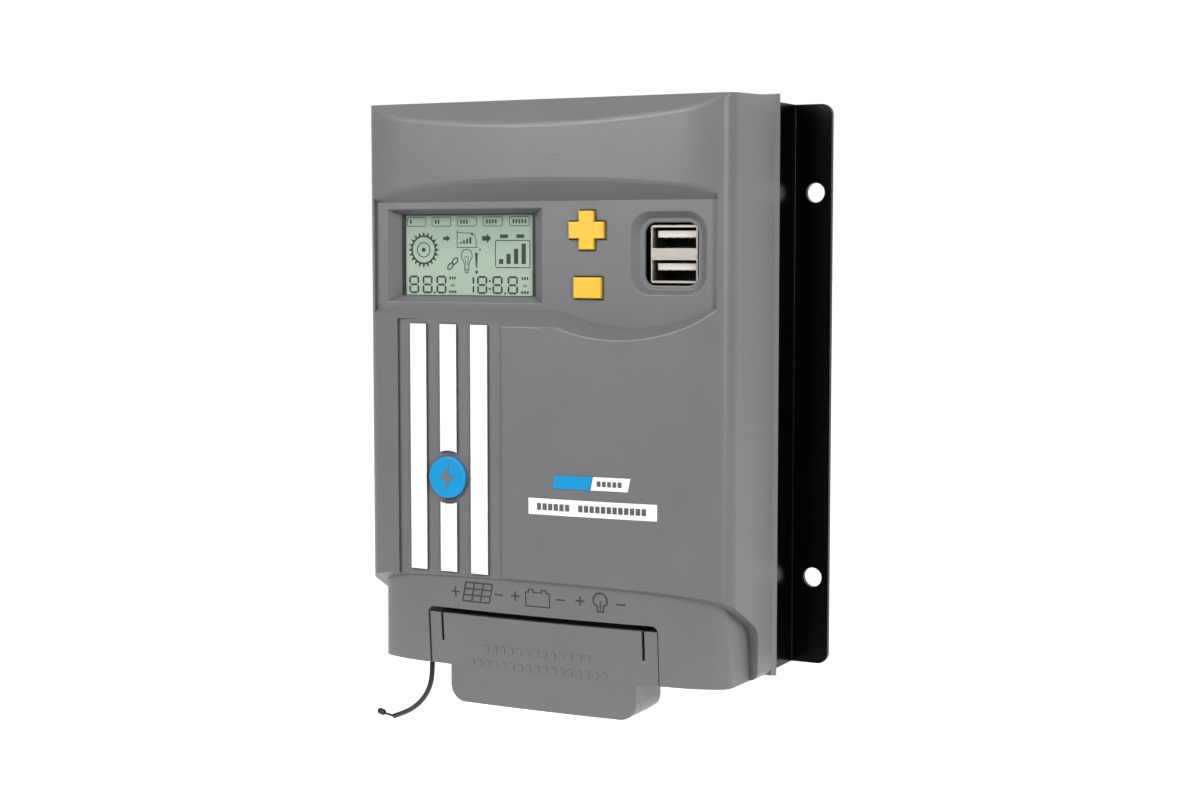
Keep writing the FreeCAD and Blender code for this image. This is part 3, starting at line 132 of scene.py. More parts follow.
def make_floor():
    """Pale table, low enough for the terminal cover to slide all the way down above it."""
    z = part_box("terminal_cover")[0].z - COVER_TRAVEL - FLOOR_GAP
    sides = ((-1, -1), (1, -1), (1, 1), (-1, 1))
    mesh = bpy.data.meshes.new("floor")
    mesh.from_pydata([(FLOOR_HALF * x, FLOOR_HALF * y, z) for x, y in sides], [], [(0, 1, 2, 3)])
    mesh.materials.append(floor_material())
    floor = bpy.data.objects.new("floor", mesh)
    bpy.context.scene.collection.objects.link(floor)


def make_studio():
    """Surround, floor and three soft boxes: a key light, a tall strip at the right and one overhead."""
    bpy.context.scene.view_settings.view_transform = "Standard"
    make_surround()
    make_floor()
    area_light("key", place=(-0.14, -0.42, 0.24), target=(0, 0, 0.04), size=(0.30, 0.25), power=1.85)
    area_light("side", place=(0.62, -0.5, 0.22), target=(0.05, 0, 0.03), size=(0.08, 0.5), power=3.0)
    area_light("overhead", place=(0.1, 0.0, 1.2), target=(0, 0, 0), size=(1.2, 0.8), power=2.0)


# ------------------------------------------------------------------ materials

class Paint:
    """Builds one procedural material, step by step."""

    def __init__(self, name):
        self.material = bpy.data.materials.new(name)
        self.material.use_nodes = True
        self.tree = self.material.node_tree
        self.shader = self.tree.nodes["Principled BSDF"]
        self.place = self.tree.nodes.new("ShaderNodeTexCoord").outputs["Object"]

    def add(self, kind, **inputs):
        """New shader node, each input linked to a source or set to a value."""
        node = self.tree.nodes.new(kind)
        for name, value in inputs.items():
            socket = node.inputs[name.replace("_", " ")]
            if isinstance(value, bpy.types.NodeSocket):
                self.tree.links.new(value, socket)
            else:
                socket.default_value = value
        return node

    def constant(self, **values):
        """Set inputs of the surface shader."""
        for name, value in values.items():
            self.shader.inputs[name.replace("_", " ")].default_value = value

    def drive(self, **sources):
        """Link sources to inputs of the surface shader."""
        for name, source in sources.items():
            self.tree.links.new(source, self.shader.inputs[name.replace("_", " ")])

    def noise(self, size, detail=2.0, roughness=0.5, stretch=(1.0, 1.0, 1.0)):
        """Cloudy noise with features of about this size, stretched along the axes."""
        place = self.add("ShaderNodeMapping", Vector=self.place, Scale=stretch)
        node = self.add("ShaderNodeTexNoise", Vector=place.outputs["Vector"], Scale=1.0 / size,
                        Detail=detail, Roughness=roughness)
        return node.outputs["Fac"]

    def cells(self, size):
        """Pebbled pattern of a spark-eroded mould."""
        return self.add("ShaderNodeTexVoronoi", Vector=self.place, Scale=1.0 / size).outputs["Distance"]

    def ramp(self, source, *stops):
        """Colours along a value, each stop a position and a colour."""
        node = self.add("ShaderNodeValToRGB", Fac=source)
        elements = node.color_ramp.elements
        while len(elements) < len(stops):
            elements.new(0.5)
        for element, (position, colour) in zip(elements, stops):
            element.position = position
            element.color = (*colour, 1.0)
        return node.outputs["Color"]

    def rescale(self, source, low, high, start=0.0, end=1.0):
        """Value that goes from low to high as the source goes from start to end."""
        node = self.add("ShaderNodeMapRange", Value=source)
        node.inputs["From Min"].default_value = start
        node.inputs["From Max"].default_value = end
        node.inputs["To Min"].default_value = low
        node.inputs["To Max"].default_value = high
        return node.outputs["Result"]

    def mottle(self, colour, spread, size=0.016):
        """A colour that varies a little over the surface."""
        low = tuple(max(0.0, c * (1.0 - spread)) for c in colour)
        high = tuple(min(1.0, c * (1.0 + spread)) for c in colour)
        return self.ramp(self.noise(size, 4.0), (0.3, low), (0.7, high))

    def multiply(self, colour, factor):
        """Colour darkened by a factor from 0 to 1."""
        node = self.add("ShaderNodeMix")
        node.data_type = "RGBA"
        node.blend_type = "MULTIPLY"
        node.inputs["Factor"].default_value = 1.0
        self.tree.links.new(colour, node.inputs[6])
        self.tree.links.new(factor, node.inputs[7])
        return node.outputs[2]

    def painted_crevice_shade(self, colour, reach, depth):
        """Painted shade: the colour darkened in corners closer than reach, standing in for the shade that
        falls there.
        """
        shade = self.add("ShaderNodeAmbientOcclusion", Distance=reach)
        shade.samples = 8
        factor = self.ramp(shade.outputs["AO"], (0.25, (depth, depth, depth)), (0.85, (1.0, 1.0, 1.0)))
        return self.multiply(colour, factor)

    def bump(self, *layers):
        """Stack of bump layers, each a height and its depth in metres."""
        normal = None
        for height, depth in layers:
            node = self.add("ShaderNodeBump", Height=height, Distance=depth)
            if normal:
                self.tree.links.new(normal, node.inputs["Normal"])
            normal = node.outputs["Normal"]
        self.drive(Normal=normal)


def moulded(name, colour, roughness, grain, depth, painted_shade=None):
    """Injection-moulded plastic with eroded texture, slight mottling and flow marks, and painted shade in its
    corners when painted_shade is given.
    """
    paint = Paint(name)
    base = paint.mottle(colour, 0.03)
    # Painted shade: the colour darkened in corners, where shade falls.
    if painted_shade:
        base = paint.painted_crevice_shade(base, *painted_shade)
    paint.drive(Base_Color=base,
                Roughness=paint.rescale(paint.noise(0.002, 3.0), roughness - 0.05, roughness + 0.05))
    paint.bump((paint.noise(0.02, 2.0), depth * 2.0), (paint.noise(grain * 1.5, 3.0, 0.65), depth),
               (paint.cells(grain), depth * 0.6))
    return paint.material


def glossy(name, colour, roughness, spread=0.03):
    """Smooth printed, painted or polished surface with faint orange peel."""
    paint = Paint(name)
    paint.drive(Base_Color=paint.mottle(colour, spread, 0.011),
                Roughness=paint.rescale(paint.noise(0.004, 4.0), roughness * 0.75, roughness * 1.3))
    paint.bump((paint.noise(0.0022, 1.0), 0.00002))
    return paint.material


def metal(name, colour, roughness, stretch=(1.0, 1.0, 1.0)):
    """Plated or bare metal with fine drawn lines."""
    paint = Paint(name)
    lines = paint.noise(0.0011, 3.0, 0.6, stretch)
    low = tuple(c * 0.9 for c in colour)
    paint.drive(Base_Color=paint.ramp(lines, (0.3, low), (0.7, colour)),
                Roughness=paint.rescale(lines, roughness * 0.7, roughness * 1.3))
    paint.bump((lines, 0.00001))
    paint.constant(Metallic=1.0)
    return paint.material


def floor_material():
    """Pale table top that glows as painted light, more towards the back, and greyer in front of the object.
    """
    paint = Paint("floor_pale")
    axes = paint.add("ShaderNodeSeparateXYZ", Vector=paint.place)
    pale_glow_share = paint.rescale(axes.outputs["Y"], 0.0, 1.0, FLOOR_GREY_TO, FLOOR_PALE_FROM)
    pale = paint.ramp(pale_glow_share, (0.0, (0.25, 0.25, 0.25)), (1.0, (0.95, 0.95, 0.95)))
    cloud = paint.ramp(paint.noise(0.5, 3.0), (0.3, (0.985, 0.985, 0.985)), (0.7, (1.0, 1.0, 1.0)))
    # Painted light: the floor glows, more towards the back.
    paint.drive(Base_Color=paint.multiply(pale, cloud),
                Emission_Strength=paint.rescale(pale_glow_share, 0.0, 0.62))
    paint.constant(Roughness=0.9, Emission_Color=(1.0, 1.0, 1.0, 1.0))
    return paint.material


def display_material():
    """Grey-green reflective display, darker towards its top as painted shade."""
    paint = Paint("display_grey_green")
    axes = paint.add("ShaderNodeSeparateXYZ", Vector=paint.place)
    low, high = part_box("lcd_cell")
    top_shade_share = paint.rescale(axes.outputs["Z"], 0.0, 1.0, low.z, high.z)
    # Painted shade: the colour darkens towards the display's top.
    base = paint.ramp(top_shade_share, (0.0, (0.38, 0.49, 0.38)), (0.45, (0.36, 0.47, 0.37)), (1.0, (0.23, 0.31, 0.25)))
    speck = paint.ramp(paint.noise(0.0009, 3.0), (0.35, (0.96, 0.96, 0.96)), (0.7, (1.0, 1.0, 1.0)))
    paint.drive(Base_Color=paint.multiply(base, speck))
    paint.bump((paint.noise(0.0006, 2.0), 0.000004))
    paint.constant(Roughness=0.32, Coat_Weight=0.25, Coat_Roughness=0.08)
    return paint.material


# Depths behind a socket's mouth between which its colour is darkened as painted shade, in millimetres.
SOCKET_SHADE_START = 0.3
SOCKET_SHADE_END = 4.5


def socket_material(name, node_name, colour, roughness, metallic):
    """Socket part, bright at its mouth and duller further in, its colour darkened with depth as painted shade
    inside the socket.
    """
    paint = Paint(name)
    axes = paint.add("ShaderNodeSeparateXYZ", Vector=paint.place)
    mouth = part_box(node_name)[0].y
    inward = paint.rescale(axes.outputs["Y"], 0.0, 1.0, mouth + SOCKET_SHADE_START * MM,
                           mouth + SOCKET_SHADE_END * MM)
    lines = paint.noise(0.0009, 3.0, 0.6, (0.15, 1.0, 1.0))
    grain = paint.ramp(lines, (0.3, tuple(c * 0.86 for c in colour)), (0.7, colour))
    # Painted shade: the colour darkens with depth behind the mouth.
    painted_depth_shade = paint.ramp(inward, (0.0, (1.0, 1.0, 1.0)), (0.18, (0.42, 0.38, 0.34)), (0.6, (0.045, 0.035, 0.03)))
    paint.drive(Base_Color=paint.multiply(grain, painted_depth_shade), Roughness=paint.rescale(inward, roughness, 0.6))
    paint.bump((lines, 0.00001))
    paint.constant(Metallic=metallic)
    return paint.material


def shell_plastic():
    """Mid-grey plastic of the housing, with painted shade in its grooves."""
    return moulded("shell_grey", (0.158, 0.158, 0.166), 0.40, 0.00045, 0.000026, (0.003, 0.3))


def bracket_paint():
    """Deep black powder coat, nearly without reflections."""
    paint = Paint("bracket_black")
    paint.drive(Base_Color=paint.mottle((0.0012, 0.0012, 0.0013), 0.3),
                Roughness=paint.rescale(paint.noise(0.004, 4.0), 0.16, 0.26))
    paint.bump((paint.noise(0.0012, 2.0), 0.00002))
    paint.constant(Specular_IOR_Level=0.13)
    return paint.material


def slot_materials():
    """One material for every material slot of the record."""
    return {
        "shell_plastic": shell_plastic(),
        "bracket_paint": bracket_paint(),
        "screw_steel": metal("screw_zinc", (0.62, 0.62, 0.64), 0.3),
        "white_film": glossy("white_film", (0.93, 0.93, 0.93), 0.4, 0.01),
        "blue_plastic": glossy("blue_gloss", (0.006, 0.29, 0.62), 0.32),
        "display_glass": display_material(),
        "light_guide": glossy("light_guide", (0.85, 0.88, 0.92), 0.2),
        "elastomer": moulded("elastomer", (0.03, 0.03, 0.03), 0.6, 0.0003, 0.00001),
        "dark_plastic": moulded("dark_plastic", (0.012, 0.012, 0.012), 0.45, 0.0003, 0.00001),
        "circuit_board": glossy("solder_mask", (0.01, 0.12, 0.04), 0.3),
        # The keys' last argument paints shade round their edges.
        "yellow_plastic": moulded("key_yellow", (0.88, 0.50, 0.035), 0.36, 0.0005, 0.000010, (0.0012, 0.4)),
        "tin_plate": socket_material("tin_plate", "usb_shell", (0.86, 0.80, 0.72), 0.24, 0.7),
        "usb_plastic": socket_material("usb_ivory", "usb_insulator", (0.70, 0.66, 0.59), 0.4, 0.0),
        "gilt_contact": socket_material("gilt", "usb_contacts", (0.9, 0.66, 0.28), 0.25, 1.0),
        "brass_post": metal("brass_bright", (0.78, 0.6, 0.28), 0.3),
        "capacitor_can": glossy("capacitor_sleeve", (0.02, 0.025, 0.05), 0.3),
        "ferrite": moulded("ferrite", (0.06, 0.06, 0.06), 0.7, 0.0004, 0.00003),
        "copper_wire": metal("enamelled_copper", (0.72, 0.33, 0.14), 0.25),
        "chip_resin": moulded("chip_resin", (0.015, 0.015, 0.016), 0.55, 0.0002, 0.00001),
        "clamp_aluminium": metal("extruded_aluminium", (0.78, 0.78, 0.8), 0.35, (0.05, 1.0, 1.0)),
        "fuse_ceramic": moulded("ceramic", (0.8, 0.78, 0.72), 0.5, 0.0003, 0.00001),
        "cable_jacket": moulded("cable_jacket", (0.004, 0.004, 0.0045), 0.6, 0.0004, 0.00001),
        "terminal_plastic": moulded("terminal_black", (0.02, 0.02, 0.022), 0.42, 0.0004, 0.000012),
        "cage_steel": metal("cage_zinc", (0.66, 0.65, 0.6), 0.35),
        "sensor_resin": glossy("sensor_resin", (0.008, 0.008, 0.010), 0.25),
    }


def dress(slots):
    """Give every CAD node the material of its slot."""
    slot_of = {part["node"]: part["material_slot"] for part in frame["record"]["subparts"]}
    for name, node in nodes.items():
        node.data.materials.clear()
        node.data.materials.append(slots[slot_of[name]])


# ------------------------------------------------------------------- drawings

def surface_under(node_name):
    """Function giving the Y of a node's front surface at X and Z, in millimetres."""
    mesh = nodes[node_name].data
    tree = BVHTree.FromPolygons([v.co for v in mesh.vertices], [p.vertices for p in mesh.polygons])
    start_y = cad_box[0].y - 0.01

    def front_y(x, z):
        hit = tree.ray_cast(Vector((x * MM, start_y, z * MM)), Vector((0.0, 1.0, 0.0)))[0]
        return hit.y / MM

    return front_y


def around(x, z, radius, angle):
    """Point at an angle on the circle round x, z."""
    return x + radius * math.cos(angle), z + radius * math.sin(angle)


class Drawing:
    """Flat marks on a surface that faces forward, built as one thin solid piece.

    A mark's points are X and Z in millimetres, or in a drawing's own units from its origin, each scale mm.
    """

    def __init__(self, front_y, lift, thickness, origin=(0.0, 0.0), scale=1.0):
        self.front_y = front_y
        self.origin = origin
        self.scale = scale
        self.lift = lift
        self.thickness = thickness
        self.points = []
        self.faces = []

    def polygon(self, outline):
        """Filled mark, turned to face forward."""
        start = len(self.points)
        self.points += outline
        area = sum(a[0] * b[1] - b[0] * a[1] for a, b in zip(outline, outline[1:] + outline[:1]))
        order = list(range(start, start + len(outline)))
        self.faces.append(order if area > 0 else order[::-1])

    def rect(self, x0, z0, x1, z1):
        self.polygon([(x0, z0), (x1, z0), (x1, z1), (x0, z1)])

    def line(self, a, b, width):
        """Straight mark from a to b."""
        run = math.dist(a, b)
        ux = (b[0] - a[0]) / run * width / 2
        uz = (b[1] - a[1]) / run * width / 2
        self.polygon([(a[0] + uz, a[1] - ux), (b[0] + uz, b[1] - ux), (b[0] - uz, b[1] + ux),
                      (a[0] - uz, a[1] + ux)])

    def path(self, points, width, closed=False):
        """Mitred line through points."""
        count = len(points)
        left = []
        right = []
        for index, (x, z) in enumerate(points):
            before = points[index - 1] if index or closed else points[index]
            after = points[(index + 1) % count] if index < count - 1 or closed else points[index]
            directions = []
            for start, end in ((before, (x, z)), ((x, z), after)):
                length = math.dist(start, end)
                if length > 1e-9:
                    directions.append(((end[0] - start[0]) / length, (end[1] - start[1]) / length))
            dx = sum(d[0] for d in directions)
            dz = sum(d[1] for d in directions)
            length = math.hypot(dx, dz)
            nx, nz = -dz / length, dx / length
            cosine = abs(-directions[0][1] * nx + directions[0][0] * nz)
            across = width / 2 / max(0.3, cosine)
            left.append((x + nx * across, z + nz * across))
            right.append((x - nx * across, z - nz * across))
        for index in range(count if closed else count - 1):
            following = (index + 1) % count
            self.polygon([right[index], right[following], left[following], left[index]])

    def arc(self, x, z, radius, width, start=0.0, end=360.0, steps=32):
        """Ring, or the part of it from start to end in degrees."""
        closed = end - start >= 360.0
        count = steps if closed else steps + 1
        angles = [math.radians(start + (end - start) * i / steps) for i in range(count)]
        self.path([around(x, z, radius, angle) for angle in angles], width, closed)

    def disc(self, x, z, radius, steps=20):
        self.polygon([around(x, z, radius, math.tau * i / steps) for i in range(steps)])

    def rounded(self, x0, z0, x1, z1, radius, width=None):
        """Rectangle with round corners: a line of this width, or filled."""
        outline = []
        corners = ((x1 - radius, z1 - radius, 0), (x0 + radius, z1 - radius, 90),
                   (x0 + radius, z0 + radius, 180), (x1 - radius, z0 + radius, 270))
        for x, z, start in corners:
            for step in range(5):
                outline.append(around(x, z, radius, math.radians(start + step * 22.5)))
        if width:
            self.path(outline, width, closed=True)
        else:
            self.polygon(outline)

    def build(self, name, body, material, slot, bevel=0.0):
        """Lay the marks on the surface and give them their thickness."""
        high = self.lift + self.thickness
        vertices = []
        for along, up in self.points:
            x = self.origin[0] + along * self.scale
            z = self.origin[1] + up * self.scale
            vertices.append((x * MM, (self.front_y(x, z) - high) * MM, z * MM))
        mesh = bpy.data.meshes.new(name)
        mesh.from_pydata(vertices, [], self.faces)
        piece = bpy.data.objects.new(name, mesh)
        bpy.context.scene.collection.objects.link(piece)
        solid = piece.modifiers.new("thickness", "SOLIDIFY")
        solid.thickness = high * MM
        solid.offset = -1.0
        if bevel:
            edge = piece.modifiers.new("edge", "BEVEL")
            edge.width = bevel * MM
            edge.segments = 2
        mesh.materials.append(material)
        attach(piece, body)


# -------------------------------------------------------------------- display

# The view's edges and width are in millimetres, the rest in the drawing's units or in shares of the view.
VIEW_LEFT = -47.5
VIEW_TOP = 48.5
VIEW_WIDTH = 42.7
UNITS_WIDE = 47.0
UNITS_HIGH = 25.6
DIGIT_HALF_WIDTH = 0.039
DIGIT_TOP = 0.748
DIGIT_FOOT = 0.968
SEGMENT = 0.62
FINE_LINE = 0.22


def view(u, v):
    """Point on the display in the drawing's units: u from the left, v from the top, both 0 to 1."""
    return UNITS_WIDE * u, -UNITS_HIGH * v


def glass_drawing():
    """New drawing on the display's front face, in units a little under a millimetre."""
    glass_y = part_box("lcd_cell")[0].y / MM
    return Drawing(lambda x, z: glass_y, 0.01, 0.03, (VIEW_LEFT, VIEW_TOP), VIEW_WIDTH / UNITS_WIDE)


def draw_type_boxes(ink):
    """Row of five rounded boxes, the first with one bar in it and the last with five."""
    half_width, half_height = 3.45, 1.4
    bar_pitch, bar_width, bar_half_height = 1.05, 0.6, 0.65
    for index, u in enumerate((0.087, 0.283, 0.481, 0.680, 0.881)):
        x, z = view(u, 0.085)
        ink.rounded(x - half_width, z - half_height, x + half_width, z + half_height, 0.5, FINE_LINE)
        for bar in range(index + 1):
            left = x - 2.4 + bar * bar_pitch
            ink.rect(left, z - bar_half_height, left + bar_width, z + bar_half_height)


def draw_sun(ink):
    """Ring of pointed teeth round two rings and a dot."""
    x, z = view(0.143, 0.43)
    teeth, root, tip, half_angle = 20, 4.5, 5.8, 0.11
    ink.arc(x, z, 4.3, 0.5, steps=48)
    for index in range(teeth):
        angle = math.tau * index / teeth
        corners = ((root, angle - half_angle), (tip, angle), (root, angle + half_angle))
        ink.polygon([around(x, z, radius, turn) for radius, turn in corners])
    ink.arc(x, z, 2.3, 0.3, steps=32)
    ink.disc(x, z, 0.7)


def draw_arrow(ink, u, v, width, height):
    """Short block arrow pointing to the right."""
    x, z = view(u, v)
    neck = x + width * 0.02
    half_shaft = height * 0.24
    ink.rect(x - width / 2, z - half_shaft, neck, z + half_shaft)
    ink.polygon([(neck, z - height / 2), (x + width / 2, z), (neck, z + height / 2)])


def draw_graph(ink):
    """Two axes, a curve that drops at its right end over four rising bars, and two dots."""
    x0, z1 = view(0.405, 0.215)
    x1, z0 = view(0.555, 0.40)
    bend_x, bend_z = x1 - 2.4, z1 - 2.4
    bar_pitch, bar_width, bar_rise, bar_foot = 1.15, 0.7, 0.5, z0 + 1.2
    ink.path([(x0, z1 + 0.6), (x0, z0), (x1 + 0.4, z0)], FINE_LINE)
    curve = [(x0, z1), (bend_x, z1 - 0.3)]
    for step in range(1, 7):
        angle = math.radians(90 - step * 15)
        curve.append((bend_x + 2.2 * math.cos(angle), bend_z + 2.1 * math.sin(angle)))
    curve.append((x1 - 0.1, z0))
    ink.path(curve, FINE_LINE)
    ink.rect(x1 - 1.9, z1 - 0.9, x1 - 1.2, z1 - 0.2)
    for index in range(4):
        left = x0 + 1.0 + index * bar_pitch
        ink.rect(left, bar_foot, left + bar_width, bar_foot + bar_rise * (index + 1))
    ink.rect(x1 + 1.0, z0 - 1.0, x1 + 1.5, z0 - 0.4)


def draw_battery(ink):
    """Battery with two terminals and four rising bars in it."""
    x0, z1 = view(0.70, 0.315)
    x1, z0 = view(0.96, 0.645)
    terminal_half_width, terminal_half_height = 1.4, 0.55
    bar_half_width, bar_rise = 0.75, 1.5
    ink.rounded(x0, z0, x1, z1, 0.5, 0.28)
    for u in (0.764, 0.888):
        x, z = view(u, 0.265)
        ink.rect(x - terminal_half_width, z - terminal_half_height,
                 x + terminal_half_width, z + terminal_half_height)
    for index in range(4):
        x, z = view(0.742 + 0.057 * index, 0.60)
        top = z + bar_rise * (index + 1) + 0.1 * index
        ink.rect(x - bar_half_width, z, x + bar_half_width, top)


def draw_link(ink):
    """Two links of a chain, rising to the right."""
    x, z = view(0.37, 0.60)
    half_length, half_width, slant, steps = 1.25, 0.72, 0.707, 20
    for side in (-1, 1):
        cx = x + side * 0.85
        cz = z + side * 0.8
        loop = []
        for step in range(steps):
            angle = math.tau * step / steps
            along = half_length * math.cos(angle)
            across = half_width * math.sin(angle)
            loop.append((cx + (along - across) * slant, cz + (along + across) * slant))
        ink.path(loop, 0.4, closed=True)


def draw_bulb(ink):
    """Light bulb: an open ring on a neck, a filament in it and three screw threads under it."""
    x, z = view(0.479, 0.50)
    foot = view(0.479, 0.715)[1]
    ink.arc(x, z, 1.95, 0.26, -50.0, 230.0, 24)
    for side in (-1, 1):
        neck = x + side * 0.72
        ink.path([(x + side * 1.25, z - 1.5), (neck, z - 3.0), (neck, foot + 0.7)], 0.26)
        ink.line((x + side * 0.25, z - 2.9), (x + side * 0.65, z - 0.4), 0.2)
    ink.line((x - 0.65, z - 0.4), (x + 0.65, z - 0.4), 0.2)
    for step in range(3):
        level = foot + 0.1 + step * 0.55
        ink.line((x - 0.75, level), (x + 0.75, level + 0.15), 0.24)


def draw_alert(ink):
    """Alert mark: a tapering stroke over a dot."""
    x, top = view(0.554, 0.465)
    tip = top - 4.6
    ink.polygon([(x - 0.5, top), (x - 0.22, tip), (x + 0.22, tip), (x + 0.5, top)])
    ink.disc(x, view(0.554, 0.70)[1], 0.5)


def draw_digit(ink, u, strokes="abcdefg"):
    """Seven-segment digit with its middle at u."""
    x0, z1 = view(u - DIGIT_HALF_WIDTH, DIGIT_TOP)
    x1, z0 = view(u + DIGIT_HALF_WIDTH, DIGIT_FOOT)
    middle = (z0 + z1) / 2
    gap = 0.16
    half = SEGMENT / 2
    level = {"a": z1 - half, "g": middle, "d": z0 + half}
    upright = {"f": (x0 + half, middle, z1), "b": (x1 - half, middle, z1),
               "e": (x0 + half, z0, middle), "c": (x1 - half, z0, middle)}
    for stroke in strokes:
        if stroke in level:
            z = level[stroke]
            a, b = x0 + gap + half, x1 - gap - half
            ink.polygon([(a, z), (a + half, z - half), (b - half, z - half), (b, z), (b - half, z + half),
                         (a + half, z + half)])
        else:
            x, low, high = upright[stroke]
            a, b = low + gap + half * 0.4, high - gap - half * 0.4
            ink.polygon([(x, a), (x + half, a + half), (x + half, b - half), (x, b), (x - half, b - half),
                         (x - half, a + half)])


def draw_unit_marks(ink, u):
    """Three rows of plain dashes where the units stand beside a reading."""
    half_height, gap = 0.42, 0.3
    for v, width in ((0.775, 2.6), (0.865, 1.6), (0.945, 2.9)):
        x, z = view(u, v)
        for dash in range(3):
            left = x - width / 2 + dash * width / 3
            ink.rect(left, z - half_height, left + width / 3 - gap, z + half_height)


def draw_dot(ink, u, v, half):
    """Square dot of a reading."""
    x, z = view(u, v)
    ink.rect(x - half, z - half, x + half, z + half)


def draw_readings(ink):
    """Lower row: a reading of three digits and one of four."""
    for u in (0.066, 0.172, 0.281):
        draw_digit(ink, u)
    draw_digit(ink, 0.497, "bc")
    for u in (0.597, 0.714, 0.830):
        draw_digit(ink, u)
    for u in (0.2265, 0.772):
        draw_dot(ink, u, 0.958, 0.32)
    for v in (0.81, 0.905):
        draw_dot(ink, 0.655, v, 0.34)
    draw_unit_marks(ink, 0.372)
    draw_unit_marks(ink, 0.925)


def make_display_marks():
    """Symbols and readings in dark ink on the display, and the dark line of the seal at its left."""
    ink_material = glossy("display_ink", (0.018, 0.028, 0.020), 0.5, 0.15)
    symbols = glass_drawing()
    draw_type_boxes(symbols)
    draw_sun(symbols)
    draw_arrow(symbols, 0.324, 0.29, 2.6, 2.1)
    draw_arrow(symbols, 0.632, 0.29, 3.2, 3.0)
    draw_graph(symbols)
    draw_battery(symbols)
    draw_link(symbols)
    draw_bulb(symbols)
    draw_alert(symbols)
    symbols.build("display_symbols", "housing", ink_material, "display_glass")
    readings = glass_drawing()
    draw_readings(readings)
    readings.build("display_readings", "housing", ink_material, "display_glass")
    low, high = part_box("lcd_cell")
    edge = Drawing(glass_drawing().front_y, 0.01, 0.03)
    inset = 1.6
    edge.rect(VIEW_LEFT - 0.75, low.z / MM + inset, VIEW_LEFT - 0.35, high.z / MM - inset)
    seal = glossy("seal_brown", (0.05, 0.02, 0.015), 0.4)
    edge.build("display_seal_line", "housing", seal, "display_glass")


# ------------------------------------------------- marks outside the display

ICON_LINE = 0.42
FINE_ICON_LINE = 0.36
SIGN_HALF = 1.35
PLUS_SIGNS = ((-26.6, -58.5), (-6.8, -58.2), (13.6, -58.0))
MINUS_SIGNS = ((-12.2, -58.3), (7.5, -58.2), (25.9, -58.2))


def draw_sign(ink, x, z, plus):
    """Plus sign, or else a minus sign."""
    ink.line((x - SIGN_HALF, z), (x + SIGN_HALF, z), ICON_LINE)
    if plus:
        ink.line((x, z - SIGN_HALF), (x, z + SIGN_HALF), ICON_LINE)


def draw_panel_icon(ink):
    """Solar panel on the slant: a grid of three by three."""
    left, right, low, high, lean = -24.3, -15.4, -61.0, -55.5, 1.3
    for index in range(4):
        share = index / 3
        z = low + (high - low) * share
        ink.line((left + lean * share, z), (right + lean * share, z), ICON_LINE)
        x = left + (right - left) * share
        ink.line((x, low), (x + lean, high), ICON_LINE)


def draw_battery_icon(ink):
    """Box with two terminals on its upper edge."""
    left, right, low, high = -3.4, 4.1, -60.7, -56.7
    outer, inner, raised = 1.0, 2.4, high + 0.8
    ink.path([(left, high), (left, low), (right, low), (right, high)], FINE_ICON_LINE)
    ink.path([(left, high), (left + outer, high), (left + outer, raised), (left + inner, raised),
              (left + inner, high), (right - inner, high), (right - inner, raised), (right - outer, raised),
              (right - outer, high), (right, high)], 0.34)


def draw_lamp_icon(ink):
    """Bulb with its cap and one upright wire."""
    x, z = 19.7, -57.5
    bulb_radius, bulb_foot = 2.1, z - 1.1
    cap_half, cap_top, cap_foot = 0.9, z - 1.5, z - 3.1
    ink.arc(x, z, bulb_radius, ICON_LINE, -30.0, 210.0, 20)
    ink.path([(x - 1.8, bulb_foot), (x - cap_half, cap_top), (x - cap_half, cap_foot),
              (x + cap_half, cap_foot), (x + cap_half, cap_top), (x + 1.8, bulb_foot)], ICON_LINE)
    ink.line((x, z - 2.6), (x, z - 0.2), FINE_ICON_LINE)


def make_housing_marks():
    """Engraved wiring marks over the terminals: panel, battery and lamp, each with + and -."""
    ink = Drawing(surface_under("front_shell"), 0.02, 0.03)
    for (plus_x, plus_z), (minus_x, minus_z) in zip(PLUS_SIGNS, MINUS_SIGNS):
        draw_sign(ink, plus_x, plus_z, True)
        draw_sign(ink, minus_x, minus_z, False)
    draw_panel_icon(ink)
    draw_battery_icon(ink)
    draw_lamp_icon(ink)
    engraved = glossy("engraved_dark", (0.035, 0.035, 0.04), 0.6, 0.1)
    ink.build("wiring_marks", "housing", engraved, "shell_plastic")


def make_badge_mark():
    """Plain bolt on the badge: half an outline, and the same half turned by 180 degrees."""
    low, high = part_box("badge_disc")
    x = (low.x + high.x) / 2 / MM
    z = (low.z + high.z) / 2 / MM
    disc_y = low.y / MM
    ink = Drawing(lambda px, pz: disc_y, 0.0, 0.12)
    half = [(0.9, 3.7), (-2.3, -0.5), (-0.35, -0.5)]
    ink.polygon([(x + a, z + b) for a, b in half] + [(x - a, z - b) for a, b in half])
    ink.build("badge_bolt", "housing", materials["shell_plastic"], "shell_plastic")


BLOCK_PITCH = 1.7
BLOCK_GAP = 0.4


def draw_blocks(ink, start, end, z, height):
    """Row of short upright blocks that stands for a word."""
    count = round((end - start) / BLOCK_PITCH)
    pitch = (end - start) / count
    for index in range(count):
        left = start + index * pitch
        ink.rounded(left, z - height / 2, left + pitch - BLOCK_GAP, z + height / 2, 0.25)


def make_label_marks():
    """Plain blocks on the labels, in place of words: each from one share of the label's width to another."""
    ink_material = glossy("label_ink", (0.10, 0.10, 0.105), 0.5, 0.1)
    for node_name, words, height in (("name_plate", ((0.07, 0.34), (0.40, 0.93)), 1.9),
                                     ("model_plate_white", ((0.16, 0.82),), 1.5)):
        low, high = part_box(node_name)
        left, right = low.x / MM, high.x / MM
        z = (low.z + high.z) / 2 / MM
        ink = Drawing(surface_under(node_name), 0.01, 0.03)
        for start, end in words:
            draw_blocks(ink, left + (right - left) * start, left + (right - left) * end, z, height)
        ink.build(node_name + "_blocks", "housing", ink_material, "white_film")


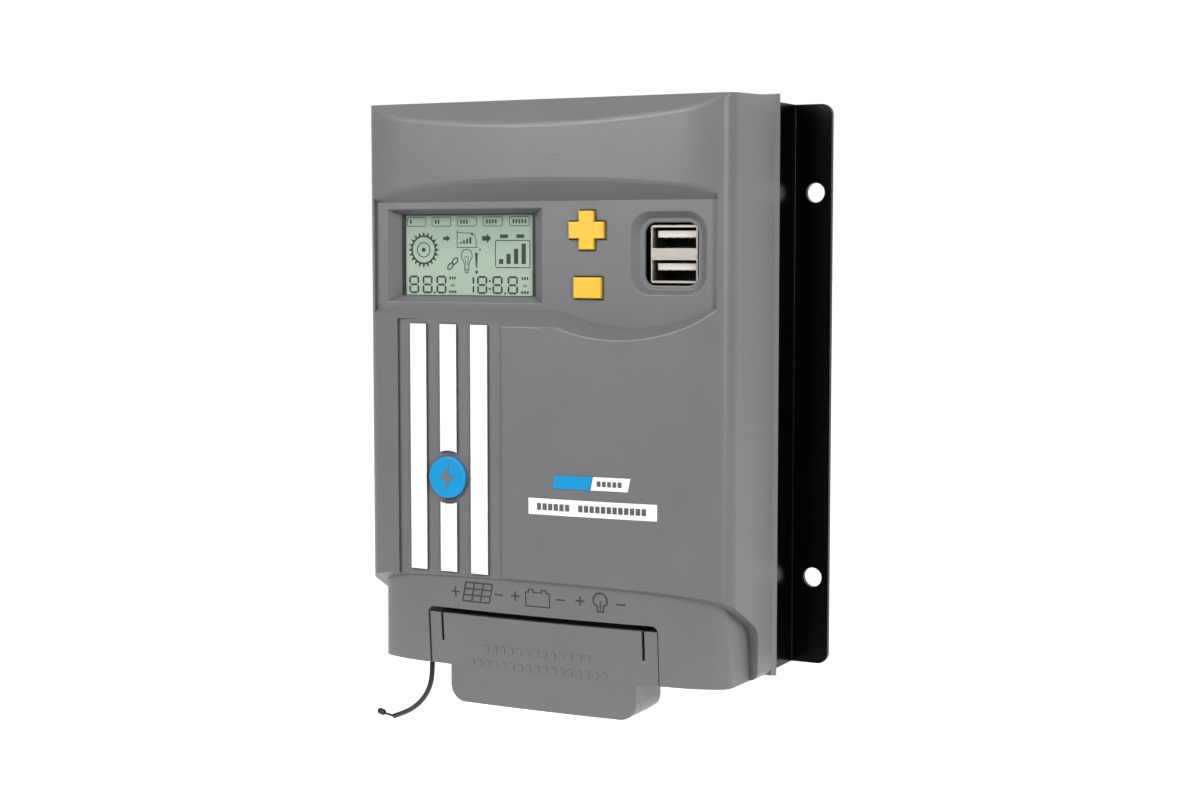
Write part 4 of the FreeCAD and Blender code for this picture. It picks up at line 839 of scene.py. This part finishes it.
# Each row's Z, half its width and its number of ribs.
GRIP_ROWS = ((-74.4, 17.5, 13), (-78.9, 22.5, 17))
GRIP_HALF_HEIGHT = 1.0
GRIP_SHARE = 0.6
GRIP_SHIFT = 0.6


def make_cover_grips():
    """Two rows of low ribs on the terminal cover, to push it down with."""
    ribs = Drawing(surface_under("terminal_cover"), 0.0, 0.16)
    for z, half, count in GRIP_ROWS:
        pitch = 2 * half / count
        for index in range(count):
            left = -half + index * pitch - GRIP_SHIFT
            ribs.rounded(left, z - GRIP_HALF_HEIGHT, left + pitch * GRIP_SHARE, z + GRIP_HALF_HEIGHT, 0.4)
    ribs.build("cover_grip_ribs", "cover", materials["shell_plastic"], "shell_plastic", 0.06)


# ---------------------------------------------------------------- sensor lead

# The length is the curve's own. Its run in depth is chosen, since the photograph doesn't show it.
LEAD_DIAMETER = 0.0015
LEAD_ROUTE = [
    (-0.0385, -0.0410, -0.0802),
    (-0.0385, -0.0410, -0.0841),
    (-0.0399, -0.0399, -0.0884),
    (-0.0432, -0.0376, -0.0926),
    (-0.0482, -0.0345, -0.0966),
    (-0.0542, -0.0311, -0.0999),
    (-0.0602, -0.0279, -0.1023),
]


def make_lead():
    """The temperature sensor's lead, one smooth curve from the grommet to its bare legs."""
    data = bpy.data.curves.new("sensor_lead_curve", "CURVE")
    data.dimensions = "3D"
    data.bevel_depth = LEAD_DIAMETER / 2
    data.bevel_resolution = 6
    data.use_fill_caps = True
    data.resolution_u = 24
    spline = data.splines.new("NURBS")
    spline.points.add(len(LEAD_ROUTE) - 1)
    for point, place in zip(spline.points, LEAD_ROUTE):
        point.co = (*place, 1.0)
    spline.order_u = 3
    spline.use_endpoint_u = True
    lead = bpy.data.objects.new("sensor_lead_jacket", data)
    bpy.context.scene.collection.objects.link(lead)
    data.materials.append(materials["cable_jacket"])
    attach(lead, "housing")
    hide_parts("sensor_lead")


# -------------------------------------------------------------------- the end

make_camera()
make_studio()
materials = slot_materials()
dress(materials)
make_lead()
make_display_marks()
make_housing_marks()
make_badge_mark()
make_label_marks()
make_cover_grips()
